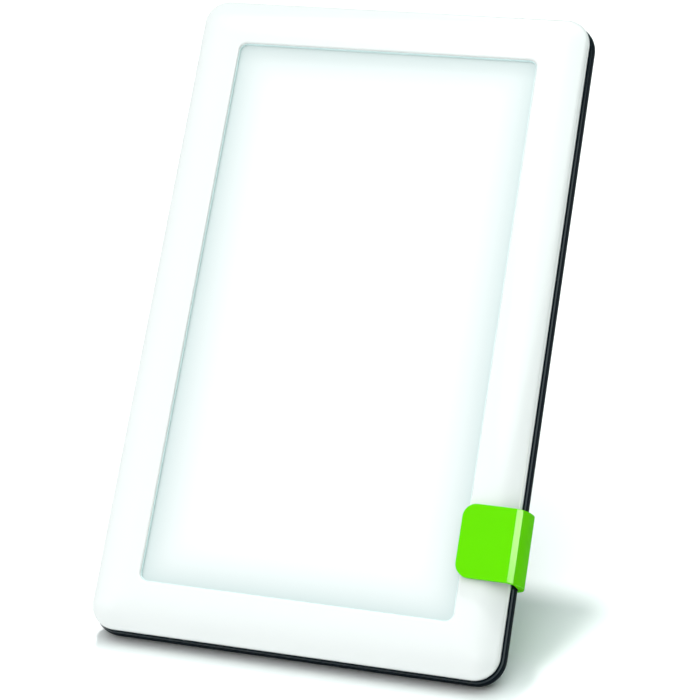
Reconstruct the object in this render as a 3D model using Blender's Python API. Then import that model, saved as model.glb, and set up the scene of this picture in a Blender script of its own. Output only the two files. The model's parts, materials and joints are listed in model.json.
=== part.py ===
"""Slim light therapy lamp on a clip-on folding stand.

Every piece is modelled in the lamp's own frame: x runs across the lit face, y runs from the face to the
back, and z runs up the face from the bottom edge of the white frame. y = 0 is the crown of the white frame.
One empty leans that frame back and stands it on the table, so the finished lamp rests on z = 0.
All sizes are in metres.
"""

import math

import bmesh
import bpy
from mathutils import Matrix, Vector

# How the lamp stands
LEAN = math.radians(35.0)

# Clearances
FIT = 0.0003
CUT = 0.001
SINK = 0.0004

# White front frame, whose bezels follow from what they hold
WINDOW_WIDTH = 0.120
WINDOW_HEIGHT = 0.217
WINDOW_CORNER = 0.0032
FRAME_CORNER = 0.0095
FRAME_WALL = 0.002
WINDOW_LIP = 0.0017
WINDOW_EDGE_ROUND = 0.0007
CROWN_FLAT = 0.0030
CROWN_FALL = 0.0026
SHOULDER = 0.0024
PARTING_DEPTH = 0.0070

# Black rear housing
THICKNESS = 0.020
GROOVE = 0.0008
REAR_BULGE = 0.00135
REAR_RADIUS_SHARE = 0.6148
HOUSING_WALL = 0.002
TONGUE_WALL = 0.0012
TONGUE_RISE = 0.0018

# Housing screws, and the bosses that they join
SCREW_INSET = 0.010
SCREW_HEAD_RADIUS = 0.0025
SCREW_HEAD_HEIGHT = 0.0016
SCREW_SHANK_RADIUS = 0.0011
SCREW_LENGTH = 0.0080
PILOT_SPARE = 0.0010
SCREW_RECESS = 0.0026
SCREW_SEAT_WALL = 0.0018
BOSS_WALL = 0.0018

# Opal window plate and what is stacked behind it
DIFFUSER_LAP = 0.0030
DIFFUSER_THICKNESS = 0.0020
LOCATING_RIB = 0.0012
GASKET_WIDTH = 0.0025
GASKET_THICKNESS = 0.0010
TRAY_WALL = 0.0008
TRAY_FLANGE = 0.0024
TRAY_SLOPE = 0.0026

# Light board
BOARD_MARGIN = 0.0010
BOARD_THICKNESS = 0.0012
LIGHT_COLUMNS = 6
LIGHT_ROWS = 10
LIGHT_WIDTH = 0.0035
LIGHT_LENGTH = 0.0028
LIGHT_HEIGHT = 0.0008
LIGHT_EDGE_X = 0.0100
LIGHT_EDGE_Z = 0.0110
TAB_WIDTH = 0.0140
TAB_DROP = 0.0022
SPREADER_THICKNESS = 0.0008
SPREADER_NOTCH = 0.0040
BOARD_SCREW_HEAD_RADIUS = 0.0019
BOARD_SCREW_HEAD_HEIGHT = 0.0010
BOARD_SCREW_SHANK_RADIUS = 0.0009
BOARD_SCREW_SPARE = 0.0018
BOARD_POST_WALL = 0.0020
BOARD_POST_HEIGHT = 0.0039

# Driver strip in the bottom bezel, and what stands on it
DRIVER_HEIGHT = 0.0113
DRIVER_THICKNESS = 0.0012
DRIVER_INSET = 0.0020
DRIVER_CLEARANCE = 0.0006
DRIVER_DEPTH = 0.0062
DRIVER_SCREW_INSET = 0.0040
DRIVER_POST_RADIUS = 0.0026
CAPACITOR_RADIUS = 0.0040
CAPACITOR_HEADROOM = 0.0018
INDUCTOR_SIDE = 0.0098
INDUCTOR_HEADROOM = 0.0033
INDUCTOR_CORNER = 0.0020
CHIP_WIDTH = 0.0049
CHIP_LENGTH = 0.0060
CHIP_HEIGHT = 0.0016
CONNECTOR_WIDTH = 0.0090
CONNECTOR_LENGTH = 0.0050
CONNECTOR_HEIGHT = 0.0034
LEAD_RADIUS = 0.0006
LEAD_SPACING = 0.0040
LEAD_REACH = 0.0030
LEAD_BOW_SHARE = 1.2

# Mains adapter inlet
SOCKET_SIDE = 0.0098
SOCKET_HEADROOM = 0.0008
SOCKET_FLOOR = 0.0030
SOCKET_NOSE_RADIUS = 0.0041
SOCKET_BORE_RADIUS = 0.0028
SOCKET_PIN_RADIUS = 0.0010
SOCKET_FLUSH = 0.0003

# Push button and the switch under it
BUTTON_WIDTH = 0.0140
BUTTON_HEIGHT = 0.0064
BUTTON_PROUD = 0.0008
BUTTON_FLANGE = 0.0012
BUTTON_FLANGE_THICKNESS = 0.0010
SWITCH_SIDE = 0.0060
SWITCH_BODY = 0.0035
SWITCH_STEM_RADIUS = 0.0017
BUTTON_TRAVEL = 0.0005

# Vents in the rear
VENT_COUNT = 9
VENT_WIDTH = 0.0020
VENT_LENGTH = 0.0160
VENT_PITCH = 0.0055
UPPER_VENT_INSET = 0.0330
LOWER_VENT_INSET = 0.0275

# Rubber feet in the lower rear edge
FOOT_LENGTH = 0.026
FOOT_INSET = 0.030
FOOT_FRONT = 0.0010
FOOT_BACK = 0.0036
FOOT_SEAT = 0.0007
FOOT_PROUD = 0.0004

# Green clip
CLIP_BOTTOM = 0.0352
CLIP_HEIGHT = 0.027
CLIP_WALL = 0.0020
CLIP_LAP = 0.0017
CLIP_REACH = 0.0018
CLIP_CHAMFER_WIDTH = 0.0020
CLIP_CHAMFER_DEPTH = 0.0017
CLIP_CORNER = 0.0050
CLIP_SIDE_BOW = 0.0025
CLIP_SIDE_DEPTH = 0.0085
CLIP_SIDE_SWEEP = 0.0106
CLIP_NOSE_RELIEF = 0.0023
ARM_THICKNESS = 0.0026

# Hinge between the clip's arm and the leg
HINGE_X = 0.008
KNUCKLE_RADIUS = 0.0036
KNUCKLE_LENGTH = 0.0058
PIN_RADIUS = 0.0015
PIN_HEAD_RADIUS = 0.0026
PIN_HEAD_HEIGHT = 0.0010
WASHER_THICKNESS = 0.0006
HINGE_RELIEF = 0.0008

# Folding leg and its rubber sole
LEG_THICKNESS = 0.0032
LEG_TIP = 0.100
LEG_TIP_HEIGHT = 0.0060
LEG_TIP_CORNER = 0.0030
LEG_HEEL_CORNER = 0.0020
LEG_SHOULDER_CORNER = 0.0030
SOLE_THICKNESS = 0.0012
SOLE_WALL = 0.0016
SOLE_RISE = 0.0028
SOLE_END = 0.0030

# Smoothness of round shapes
CORNER_STEPS = 6
EDGE_STEPS = 5
VENT_STEPS = 2
ROD_SIDES = 16
KNUCKLE_SIDES = 32
ROUND_PROFILE_SHARE = 0.5
ROUND_END_SHARE = 0.95
CROWN_SHARES = (0.22, 0.45, 0.68, 0.86)
SIDE_ANGLES = (-25.0, -10.0, 5.0, 20.0, 36.0, 53.0, 71.0)

# Places worked out from the sizes above
TONGUE_OUTER = FRAME_WALL + FIT
TONGUE_INNER = TONGUE_OUTER + TONGUE_WALL
BOSS_RADIUS = SCREW_SHANK_RADIUS + FIT + BOSS_WALL
RIB_INNER = DIFFUSER_LAP + FIT
RIB_OUTER = RIB_INNER + LOCATING_RIB
DRIVER_LOW = TONGUE_INNER + DRIVER_CLEARANCE
SIDE_BEZEL = SCREW_INSET + BOSS_RADIUS + FIT + RIB_OUTER
END_BEZEL = DRIVER_LOW + DRIVER_HEIGHT + DRIVER_CLEARANCE + DIFFUSER_LAP
FRAME_WIDTH = WINDOW_WIDTH + 2 * SIDE_BEZEL
FRAME_HEIGHT = WINDOW_HEIGHT + 2 * END_BEZEL
HALF_FRAME = FRAME_WIDTH / 2
WINDOW_BOTTOM = END_BEZEL
MIDDLE_Z = FRAME_HEIGHT / 2
HOUSING_FRONT = PARTING_DEPTH + GROOVE
REAR_RADIUS = REAR_RADIUS_SHARE * (THICKNESS - HOUSING_FRONT)
EDGE_CENTRE_Y = THICKNESS - REAR_RADIUS
EDGE_CENTRE_Z = REAR_RADIUS - REAR_BULGE
FLOOR_Y = THICKNESS - HOUSING_WALL
RECESS_RADIUS = SCREW_HEAD_RADIUS + FIT
RECESS_FLOOR_Y = THICKNESS - SCREW_RECESS
SEAT_FRONT_Y = RECESS_FLOOR_Y - SCREW_SEAT_WALL
SCREW_TIP_Y = RECESS_FLOOR_Y + FIT - SCREW_LENGTH
DIFFUSER_Y = WINDOW_LIP + FIT
GASKET_Y = DIFFUSER_Y + DIFFUSER_THICKNESS + FIT
TRAY_Y = GASKET_Y + GASKET_THICKNESS + FIT
POST_TOP_Y = FLOOR_Y - BOARD_POST_HEIGHT
SPREADER_Y = POST_TOP_Y - FIT - SPREADER_THICKNESS
BOARD_Y = SPREADER_Y - FIT - BOARD_THICKNESS
TRAY_FOOT_Y = BOARD_Y - FIT
DRIVER_WIDTH = WINDOW_WIDTH - 2 * DRIVER_INSET
DRIVER_TOP_Y = DRIVER_DEPTH + DRIVER_THICKNESS
SEAT_Y = DRIVER_TOP_Y + FIT
DRIVER_Z = DRIVER_LOW + DRIVER_HEIGHT / 2
UPPER_VENT_Z = FRAME_HEIGHT - UPPER_VENT_INSET
FOOT_X = HALF_FRAME - FOOT_INSET
CLIP_TOP = CLIP_BOTTOM + CLIP_HEIGHT
ARM_Y = THICKNESS + FIT
CLIP_BACK = ARM_Y + ARM_THICKNESS
HINGE_Y = ARM_Y + KNUCKLE_RADIUS
HINGE_PLACE = (HINGE_X, HINGE_Y, CLIP_BOTTOM)
LEG_GAP = WASHER_THICKNESS + 2 * FIT
LEG_NECK_BOTTOM = CLIP_BOTTOM + KNUCKLE_LENGTH + LEG_GAP
LEG_NECK_TOP = CLIP_TOP - KNUCKLE_LENGTH - LEG_GAP
LEG_EDGE_HEIGHT = SOLE_THICKNESS + FIT
FLANGE_BACK_Y = FLOOR_Y - FIT
FLANGE_FRONT_Y = FLANGE_BACK_Y - BUTTON_FLANGE_THICKNESS
KNUCKLES_LOW = CLIP_BOTTOM - SINK
KNUCKLES_HIGH = CLIP_TOP + SINK
ROW_WIDTHS = {
    "dc_socket": SOCKET_SIDE,
    "input_capacitor": 2 * CAPACITOR_RADIUS,
    "driver_chip": CHIP_WIDTH,
    "inductor": INDUCTOR_SIDE,
    "output_capacitor": 2 * CAPACITOR_RADIUS,
    "led_connector": CONNECTOR_WIDTH,
    "tact_switch": SWITCH_SIDE,
}
TABLE = EDGE_CENTRE_Z * math.cos(LEAN) - EDGE_CENTRE_Y * math.sin(LEAN) - REAR_RADIUS - FOOT_PROUD


def mesh_from(name, bm):
    """Closes a bmesh off as a mesh with its faces pointing out."""
    bmesh.ops.recalc_face_normals(bm, faces=bm.faces)
    mesh = bpy.data.meshes.new(name)
    bm.to_mesh(mesh)
    bm.free()
    return mesh


def add_piece(name, bm, material, parent, origin=(0.0, 0.0, 0.0)):
    """Makes one named piece whose object origin lies at a given point of the lamp's frame.

    Until the lamp is stood on the table, an empty's location is its place in that frame.
    """
    bmesh.ops.translate(bm, verts=bm.verts, vec=-Vector(origin))
    mesh = mesh_from(name, bm)
    mesh.shade_smooth()
    mesh.set_sharp_from_angle(angle=math.radians(30.0))
    mesh.materials.append(material)
    obj = bpy.data.objects.new(name, mesh)
    obj.parent = parent
    obj.location = Vector(origin) - parent.location
    bpy.context.collection.objects.link(obj)
    return obj


def add_tool(obj, label, bm, operation):
    """Joins or cuts a piece with a guide body given in the lamp's frame, through a live Boolean."""
    guide = bpy.data.objects.new(f"{obj.name}_{label}", mesh_from(label, bm))
    guide.parent = obj.parent
    guide.location = -obj.parent.location
    guide.hide_render = True
    guide.display_type = "WIRE"
    bpy.context.collection.objects.link(guide)
    modifier = obj.modifiers.new(label, "BOOLEAN")
    modifier.operation = operation
    modifier.object = guide


def add_face_loops(bm, loops, closed):
    """Bridges loops of equally many points; closed joins the last to the first, else both ends are capped."""
    rings = [[bm.verts.new(point) for point in loop] for loop in loops]
    pairs = list(zip(rings, rings[1:]))
    if closed:
        pairs.append((rings[-1], rings[0]))
    for first, second in pairs:
        for index in range(len(first)):
            nearby = (index + 1) % len(first)
            bm.faces.new((first[index], first[nearby], second[nearby], second[index]))
    if not closed:
        bm.faces.new(rings[0])
        bm.faces.new(rings[-1])


def rounded_outline(corners, steps=CORNER_STEPS):
    """Turns (point, radius) corners in a plane into an outline with an arc at each corner."""
    outline = []
    for index, (point, radius) in enumerate(corners):
        here = Vector(point)
        to_last = (Vector(corners[index - 1][0]) - here).normalized()
        to_next = (Vector(corners[(index + 1) % len(corners)][0]) - here).normalized()
        if radius == 0.0:
            outline.append(here)
            continue
        half_angle = to_last.angle(to_next) / 2
        centre = here + (to_last + to_next).normalized() * radius / math.sin(half_angle)
        start = here + to_last * radius / math.tan(half_angle) - centre
        end = here + to_next * radius / math.tan(half_angle) - centre
        turn = start.angle_signed(end)
        for step in range(steps + 1):
            outline.append(centre + Matrix.Rotation(-turn * step / steps, 2) @ start)
    return outline


def rectangle(low_a, high_a, low_b, high_b, radius=0.0, steps=CORNER_STEPS):
    """Outline of a rectangle with round corners."""
    corners = ((low_a, low_b), (high_a, low_b), (high_a, high_b), (low_a, high_b))
    return rounded_outline([(corner, radius) for corner in corners], steps)


def circle(centre_a, centre_b, radius, sides=ROD_SIDES):
    """Outline of a circle as a polygon."""
    angles = [2 * math.pi * side / sides for side in range(sides)]
    return [Vector((centre_a + radius * math.cos(a), centre_b + radius * math.sin(a))) for a in angles]


def add_prism(bm, outline, axis, low, high):
    """Extrudes an outline along x, y or z; its two coordinates are the other two axes in their order."""
    def place(point, along):
        a, b = point
        return {"x": (along, a, b), "y": (a, along, b), "z": (a, b, along)}[axis]

    add_face_loops(bm, [[place(point, along) for point in outline] for along in (low, high)], closed=False)


def add_block(bm, x_range, y_range, z_range):
    """Adds a plain box given by its ranges."""
    add_prism(bm, rectangle(*x_range, *z_range), "y", *y_range)


def prism(outline, axis, low, high):
    bm = bmesh.new()
    add_prism(bm, outline, axis, low, high)
    return bm


def around(centre, size):
    """Range of a given size about a centre."""
    return (centre - size / 2, centre + size / 2)


def frame_loop(inset, depth):
    """Loop round the lit face: inset 0 is the frame's outer edge, SIDE_BEZEL the window's edge.

    The corners stay concentric until they are as tight as the window's. The extra width of the top and
    bottom bezels is taken up evenly between the shoulder and the window.
    """
    share = max(inset - SHOULDER, 0.0) / (SIDE_BEZEL - SHOULDER)
    half_width = HALF_FRAME - inset
    half_height = MIDDLE_Z - inset - (END_BEZEL - SIDE_BEZEL) * share
    radius = max(FRAME_CORNER - inset, WINDOW_CORNER)
    outline = rectangle(-half_width, half_width, MIDDLE_Z - half_height, MIDDLE_Z + half_height, radius)
    return [(x, depth, z) for x, z in outline]


def window_loop(lap, depth):
    """Loop at a constant distance outside the window's edge, its corners round with the same centres."""
    half_width = WINDOW_WIDTH / 2 + lap
    half_height = WINDOW_HEIGHT / 2 + lap
    radius = WINDOW_CORNER + max(lap, -WINDOW_CORNER / 2)
    outline = rectangle(-half_width, half_width, MIDDLE_Z - half_height, MIDDLE_Z + half_height, radius)
    return [(x, depth, z) for x, z in outline]


def edge_loop(offset, depth):
    """Loop that follows the lamp's outer edge at a constant distance outside it."""
    half_width = HALF_FRAME + offset
    half_height = MIDDLE_Z + offset
    outline = rectangle(-half_width, half_width, MIDDLE_Z - half_height, MIDDLE_Z + half_height,
                        FRAME_CORNER + offset)
    return [(x, depth, z) for x, z in outline]


def arc_points(centre_a, centre_b, radius, start, end, steps):
    """Points of an arc between two angles in degrees."""
    angles = [math.radians(start + (end - start) * step / steps) for step in range(steps + 1)]
    return [(centre_a + radius * math.cos(a), centre_b + radius * math.sin(a)) for a in angles]


def stand_upright(bm):
    """Turns a body drawn level with the table into the lamp's leaning frame."""
    bmesh.ops.rotate(bm, verts=bm.verts, cent=(0.0, 0.0, 0.0), matrix=Matrix.Rotation(LEAN, 3, "X"))


def level(y, z):
    """Where a point of the lamp's frame lies before the lift: how far back, and how high."""
    return (y * math.cos(LEAN) + z * math.sin(LEAN), z * math.cos(LEAN) - y * math.sin(LEAN))


def sole_line_z(y, height):
    """z at which a line at a given height over the table passes a depth y of the leaning lamp."""
    return (TABLE + height + y * math.sin(LEAN)) / math.cos(LEAN)


def plain_material(name, colour, roughness, metallic=0.0):
    """Plain shader for one material."""
    material = bpy.data.materials.new(name)
    material.use_nodes = True
    shader = material.node_tree.nodes["Principled BSDF"]
    shader.inputs["Base Color"].default_value = (*colour, 1.0)
    shader.inputs["Roughness"].default_value = roughness
    shader.inputs["Metallic"].default_value = metallic
    return material


def screw_places():
    """Centres of the six housing screws, in the corners and half way up the sides."""
    across = HALF_FRAME - SCREW_INSET
    heights = (SCREW_INSET, MIDDLE_Z, FRAME_HEIGHT - SCREW_INSET)
    return [(side * across, z) for z in heights for side in (-1, 1)]


def light_places():
    """Centres of the light packages, in even rows and columns over the window."""
    first_x = -WINDOW_WIDTH / 2 + LIGHT_EDGE_X
    first_z = WINDOW_BOTTOM + LIGHT_EDGE_Z
    step_x = (WINDOW_WIDTH - 2 * LIGHT_EDGE_X) / (LIGHT_COLUMNS - 1)
    step_z = (WINDOW_HEIGHT - 2 * LIGHT_EDGE_Z) / (LIGHT_ROWS - 1)
    return [(first_x + step_x * column, first_z + step_z * row)
            for row in range(LIGHT_ROWS) for column in range(LIGHT_COLUMNS)]


def board_screw_places():
    """Centres of the four light board screws, each in the middle of four light packages."""
    step_x = (WINDOW_WIDTH - 2 * LIGHT_EDGE_X) / (LIGHT_COLUMNS - 1)
    step_z = (WINDOW_HEIGHT - 2 * LIGHT_EDGE_Z) / (LIGHT_ROWS - 1)
    across = step_x * (LIGHT_COLUMNS / 2 - 1)
    up = step_z * (LIGHT_ROWS / 2 - 1)
    return [(x, MIDDLE_Z + z) for z in (-up, up) for x in (-across, across)]


def row_x(name):
    """Middle x of a part on the driver strip: all stand in one row between its screws, with even gaps."""
    start = DRIVER_SCREW_INSET + BOARD_SCREW_HEAD_RADIUS - DRIVER_WIDTH / 2
    gap = (-2 * start - sum(ROW_WIDTHS.values())) / (len(ROW_WIDTHS) + 1)
    for part, width in ROW_WIDTHS.items():
        start += gap
        if part == name:
            return start + width / 2
        start += width
    raise KeyError(name)


def driver_screw_places():
    across = DRIVER_WIDTH / 2 - DRIVER_SCREW_INSET
    return [(-across, DRIVER_Z), (across, DRIVER_Z)]


def crown_depth(inset):
    """Depth of the frame's soft crown: level near the window, then falling as a square to the shoulder."""
    run = (SIDE_BEZEL - CROWN_FLAT - inset) / (SIDE_BEZEL - CROWN_FLAT - SHOULDER)
    return CROWN_FALL * max(run, 0.0) ** 2


def build_front_frame(lamp, white):
    """Glossy frame: window lip, crown, soft shoulder and side wall, hollow behind, with screw bosses."""
    lip_in = SIDE_BEZEL
    loops = [frame_loop(lip_in, WINDOW_LIP), frame_loop(lip_in, WINDOW_EDGE_ROUND)]
    loops.append(frame_loop(lip_in - WINDOW_EDGE_ROUND, crown_depth(lip_in)))
    crown_run = SIDE_BEZEL - CROWN_FLAT - SHOULDER
    for share in (0.0,) + CROWN_SHARES:
        inset = SHOULDER + crown_run * (1.0 - share)
        loops.append(frame_loop(inset, crown_depth(inset)))
    for inset, depth in arc_points(SHOULDER, CROWN_FALL + SHOULDER, SHOULDER, -90.0, -180.0, EDGE_STEPS):
        loops.append(frame_loop(inset, depth))
    loops.append(frame_loop(0.0, PARTING_DEPTH))
    inner_shoulder = SHOULDER + FRAME_WALL
    loops.append(frame_loop(FRAME_WALL, PARTING_DEPTH))
    loops.append(frame_loop(FRAME_WALL, CROWN_FALL + SHOULDER))
    loops.append(frame_loop(inner_shoulder, crown_depth(inner_shoulder) + FRAME_WALL))
    loops.append(window_loop(RIB_OUTER, crown_depth(SIDE_BEZEL - RIB_OUTER) + FRAME_WALL))
    loops.append(window_loop(RIB_OUTER, DIFFUSER_Y + DIFFUSER_THICKNESS))
    loops.append(window_loop(RIB_INNER, DIFFUSER_Y + DIFFUSER_THICKNESS))
    loops.append(window_loop(RIB_INNER, WINDOW_LIP))
    bm = bmesh.new()
    add_face_loops(bm, loops, closed=True)
    frame = add_piece("front_frame", bm, white, lamp)
    posts = bmesh.new()
    pilots = bmesh.new()
    for x, z in screw_places():
        add_prism(posts, circle(x, z, BOSS_RADIUS), "y", FRAME_WALL, SEAT_FRONT_Y - FIT)
        add_prism(pilots, circle(x, z, SCREW_SHANK_RADIUS + FIT), "y",
                  SCREW_TIP_Y - PILOT_SPARE, SEAT_FRONT_Y + CUT)
    post_front = crown_depth(DRIVER_Z) + FRAME_WALL / 2
    for x, z in driver_screw_places():
        add_prism(posts, circle(x, z, DRIVER_POST_RADIUS), "y", post_front, DRIVER_DEPTH - FIT)
        add_prism(pilots, circle(x, z, BOARD_SCREW_SHANK_RADIUS + FIT), "y",
                  post_front + FRAME_WALL, DRIVER_DEPTH + CUT)
    add_tool(frame, "posts", posts, "UNION")
    add_tool(frame, "pilots", pilots, "DIFFERENCE")


def housing_loops():
    """Loops of the pan-shaped shell, from its inner floor up over the tongue and round the outside."""
    outer = [(0.0, HOUSING_FRONT)]
    rise = EDGE_CENTRE_Y - HOUSING_FRONT
    outer.append((REAR_BULGE * math.sin(math.pi / 4), HOUSING_FRONT + rise / 2))
    outer += arc_points(REAR_BULGE - REAR_RADIUS, EDGE_CENTRE_Y, REAR_RADIUS, 0.0, 90.0, EDGE_STEPS)
    inner_radius = REAR_RADIUS - HOUSING_WALL
    inner = arc_points(REAR_BULGE - REAR_RADIUS, EDGE_CENTRE_Y, inner_radius, 90.0, 0.0, EDGE_STEPS)
    inner.append((-TONGUE_INNER, HOUSING_FRONT + HOUSING_WALL))
    inner.append((-TONGUE_INNER, PARTING_DEPTH - TONGUE_RISE))
    inner.append((-TONGUE_OUTER, PARTING_DEPTH - TONGUE_RISE))
    inner.append((-TONGUE_OUTER, HOUSING_FRONT))
    return [edge_loop(offset, depth) for offset, depth in inner + outer]


def vent_slots():
    """Two rows of upright slots across the middle of the back."""
    bm = bmesh.new()
    for middle_z in (UPPER_VENT_Z, LOWER_VENT_INSET):
        low_z, high_z = around(middle_z, VENT_LENGTH)
        for index in range(VENT_COUNT):
            low_x, high_x = around((index - (VENT_COUNT - 1) / 2) * VENT_PITCH, VENT_WIDTH)
            outline = rectangle(low_x, high_x, low_z, high_z, ROUND_END_SHARE * VENT_WIDTH / 2, VENT_STEPS)
            add_prism(bm, outline, "y", FLOOR_Y - CUT, THICKNESS + CUT)
    return bm


def foot_blocks(grow):
    """Bodies of the two feet, level with the table; grow makes the pockets that they sit in."""
    bm = bmesh.new()
    back, _ = level(EDGE_CENTRE_Y, EDGE_CENTRE_Z)
    for side in (-1, 1):
        x_range = around(side * FOOT_X, FOOT_LENGTH + 2 * grow)
        y_range = (back - FOOT_FRONT - grow, back + FOOT_BACK + grow)
        drop = TABLE - CUT if grow else TABLE
        z_range = (drop, TABLE + FOOT_PROUD + FOOT_SEAT + grow)
        add_block(bm, x_range, y_range, z_range)
    stand_upright(bm)
    return bm


def build_rear_housing(lamp, black):
    """Black shell with a locating tongue, screw recesses, vents, and the button's and socket's openings."""
    bm = bmesh.new()
    add_face_loops(bm, housing_loops(), closed=False)
    housing = add_piece("rear_housing", bm, black, lamp)
    posts = bmesh.new()
    holes = bmesh.new()
    for x, z in screw_places():
        add_prism(posts, circle(x, z, RECESS_RADIUS + BOSS_WALL), "y", SEAT_FRONT_Y, FLOOR_Y + SINK)
        add_prism(holes, circle(x, z, SCREW_SHANK_RADIUS + FIT), "y", SEAT_FRONT_Y - CUT, RECESS_FLOOR_Y + CUT)
    for x, z in board_screw_places():
        post_radius = BOARD_SCREW_SHANK_RADIUS + FIT + BOARD_POST_WALL
        add_prism(posts, circle(x, z, post_radius), "y", POST_TOP_Y, FLOOR_Y + SINK)
        add_prism(holes, circle(x, z, BOARD_SCREW_SHANK_RADIUS + FIT), "y",
                  POST_TOP_Y - CUT, FLOOR_Y - SINK)
    add_tool(housing, "posts", posts, "UNION")
    add_tool(housing, "shank_holes", holes, "DIFFERENCE")
    recesses = bmesh.new()
    for x, z in screw_places():
        add_prism(recesses, circle(x, z, RECESS_RADIUS), "y", RECESS_FLOOR_Y, THICKNESS + CUT)
    add_prism(recesses, circle(row_x("dc_socket"), DRIVER_Z, SOCKET_NOSE_RADIUS + FIT), "y",
              FLOOR_Y - CUT, THICKNESS + CUT)
    add_prism(recesses, button_outline(FIT), "y", FLOOR_Y - CUT, THICKNESS + CUT)
    add_tool(housing, "recesses", recesses, "DIFFERENCE")
    add_tool(housing, "vents", vent_slots(), "DIFFERENCE")
    add_tool(housing, "foot_pockets", foot_blocks(FIT), "DIFFERENCE")


def button_outline(grow):
    """Long round-ended outline of the button, larger all round by grow."""
    half_height = BUTTON_HEIGHT / 2 + grow
    low_x, high_x = around(row_x("tact_switch"), BUTTON_WIDTH + 2 * grow)
    return rectangle(low_x, high_x, DRIVER_Z - half_height, DRIVER_Z + half_height,
                     ROUND_END_SHARE * half_height)


def build_button(lamp, grey):
    """Button cap with the flange that keeps it in the housing."""
    top = THICKNESS + BUTTON_PROUD
    bm = prism(button_outline(0.0), "y", FLANGE_FRONT_Y + BUTTON_FLANGE_THICKNESS / 2, top)
    button = add_piece("power_button", bm, grey, lamp, origin=(row_x("tact_switch"), top, DRIVER_Z))
    flange = prism(button_outline(BUTTON_FLANGE), "y", FLANGE_FRONT_Y, FLANGE_BACK_Y)
    add_tool(button, "flange", flange, "UNION")


def add_screw(bm, x, z, head, shank, seat_y):
    """Screw with its head behind seat_y and its shank running forward, turned about y."""
    head_radius, head_height = head
    shank_radius, length = shank
    profile = [(shank_radius, seat_y - length), (shank_radius, seat_y), (head_radius, seat_y),
               (head_radius, seat_y + head_height / 2), (head_radius - head_height / 2, seat_y + head_height)]
    loops = [[(px, y, pz) for px, pz in circle(x, z, radius)] for radius, y in profile]
    add_face_loops(bm, loops, closed=False)


def build_screws(lamp, steel):
    """Six housing screws in the rear recesses, four through the light board, two in the driver strip."""
    head = (SCREW_HEAD_RADIUS, SCREW_HEAD_HEIGHT)
    shank = (SCREW_SHANK_RADIUS, SCREW_LENGTH)
    for number, (x, z) in enumerate(screw_places(), start=1):
        bm = bmesh.new()
        add_screw(bm, x, z, head, shank, RECESS_FLOOR_Y + FIT)
        add_piece(f"housing_screw_{number}", bm, steel, lamp)
    head = (BOARD_SCREW_HEAD_RADIUS, BOARD_SCREW_HEAD_HEIGHT)
    seat = BOARD_Y - FIT
    shank = (BOARD_SCREW_SHANK_RADIUS, FLOOR_Y - BOARD_SCREW_SPARE - seat)
    for number, (x, z) in enumerate(board_screw_places(), start=1):
        bm = bmesh.new()
        add_screw(bm, x, z, head, shank, 0.0)
        bmesh.ops.scale(bm, vec=(1.0, -1.0, 1.0), verts=bm.verts)
        bmesh.ops.translate(bm, verts=bm.verts, vec=(0.0, seat, 0.0))
        add_piece(f"board_screw_{number}", bm, steel, lamp)
    shank = (BOARD_SCREW_SHANK_RADIUS, DRIVER_THICKNESS + FRAME_WALL)
    for number, (x, z) in enumerate(driver_screw_places(), start=1):
        bm = bmesh.new()
        add_screw(bm, x, z, head, shank, SEAT_Y)
        add_piece(f"driver_screw_{number}", bm, steel, lamp)


def build_optics(lamp, finishes):
    """Opal plate, the foam ring behind it and the sloped white tray that stands on the light board."""
    bm = bmesh.new()
    back = DIFFUSER_Y + DIFFUSER_THICKNESS
    add_face_loops(bm, [window_loop(DIFFUSER_LAP, depth) for depth in (DIFFUSER_Y, back)], closed=False)
    add_piece("diffuser_plate", bm, finishes["opal"], lamp)
    gasket_inner = DIFFUSER_LAP - GASKET_WIDTH
    bm = bmesh.new()
    add_face_loops(bm, [window_loop(lap, depth) for lap, depth in (
        (DIFFUSER_LAP, GASKET_Y), (DIFFUSER_LAP, GASKET_Y + GASKET_THICKNESS),
        (gasket_inner, GASKET_Y + GASKET_THICKNESS), (gasket_inner, GASKET_Y))], closed=True)
    add_piece("diffuser_gasket", bm, finishes["foam"], lamp)
    mouth = DIFFUSER_LAP - TRAY_FLANGE
    base = mouth - TRAY_SLOPE
    bm = bmesh.new()
    add_face_loops(bm, [window_loop(lap, depth) for lap, depth in (
        (DIFFUSER_LAP, TRAY_Y), (DIFFUSER_LAP, TRAY_Y + TRAY_WALL), (mouth + TRAY_WALL, TRAY_Y + TRAY_WALL),
        (base + TRAY_WALL, TRAY_FOOT_Y), (base, TRAY_FOOT_Y), (mouth, TRAY_Y))], closed=True)
    add_piece("reflector_tray", bm, finishes["reflector"], lamp)


def board_outline():
    """Outline of the light board: inside the window's edge, with a tab at the bottom for its leads."""
    half_width = WINDOW_WIDTH / 2 - BOARD_MARGIN
    low = WINDOW_BOTTOM + BOARD_MARGIN
    high = FRAME_HEIGHT - END_BEZEL - BOARD_MARGIN
    tab_low, tab_high = around(row_x("led_connector"), TAB_WIDTH)
    corners = ((-half_width, low), (tab_low, low), (tab_low, low - TAB_DROP), (tab_high, low - TAB_DROP),
               (tab_high, low), (half_width, low), (half_width, high), (-half_width, high))
    return [Vector(corner) for corner in corners]


def board_screw_holes():
    """Holes for the four light board screws."""
    bm = bmesh.new()
    for x, z in board_screw_places():
        add_prism(bm, circle(x, z, BOARD_SCREW_SHANK_RADIUS + FIT), "y", BOARD_Y - CUT, POST_TOP_Y)
    return bm


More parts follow.
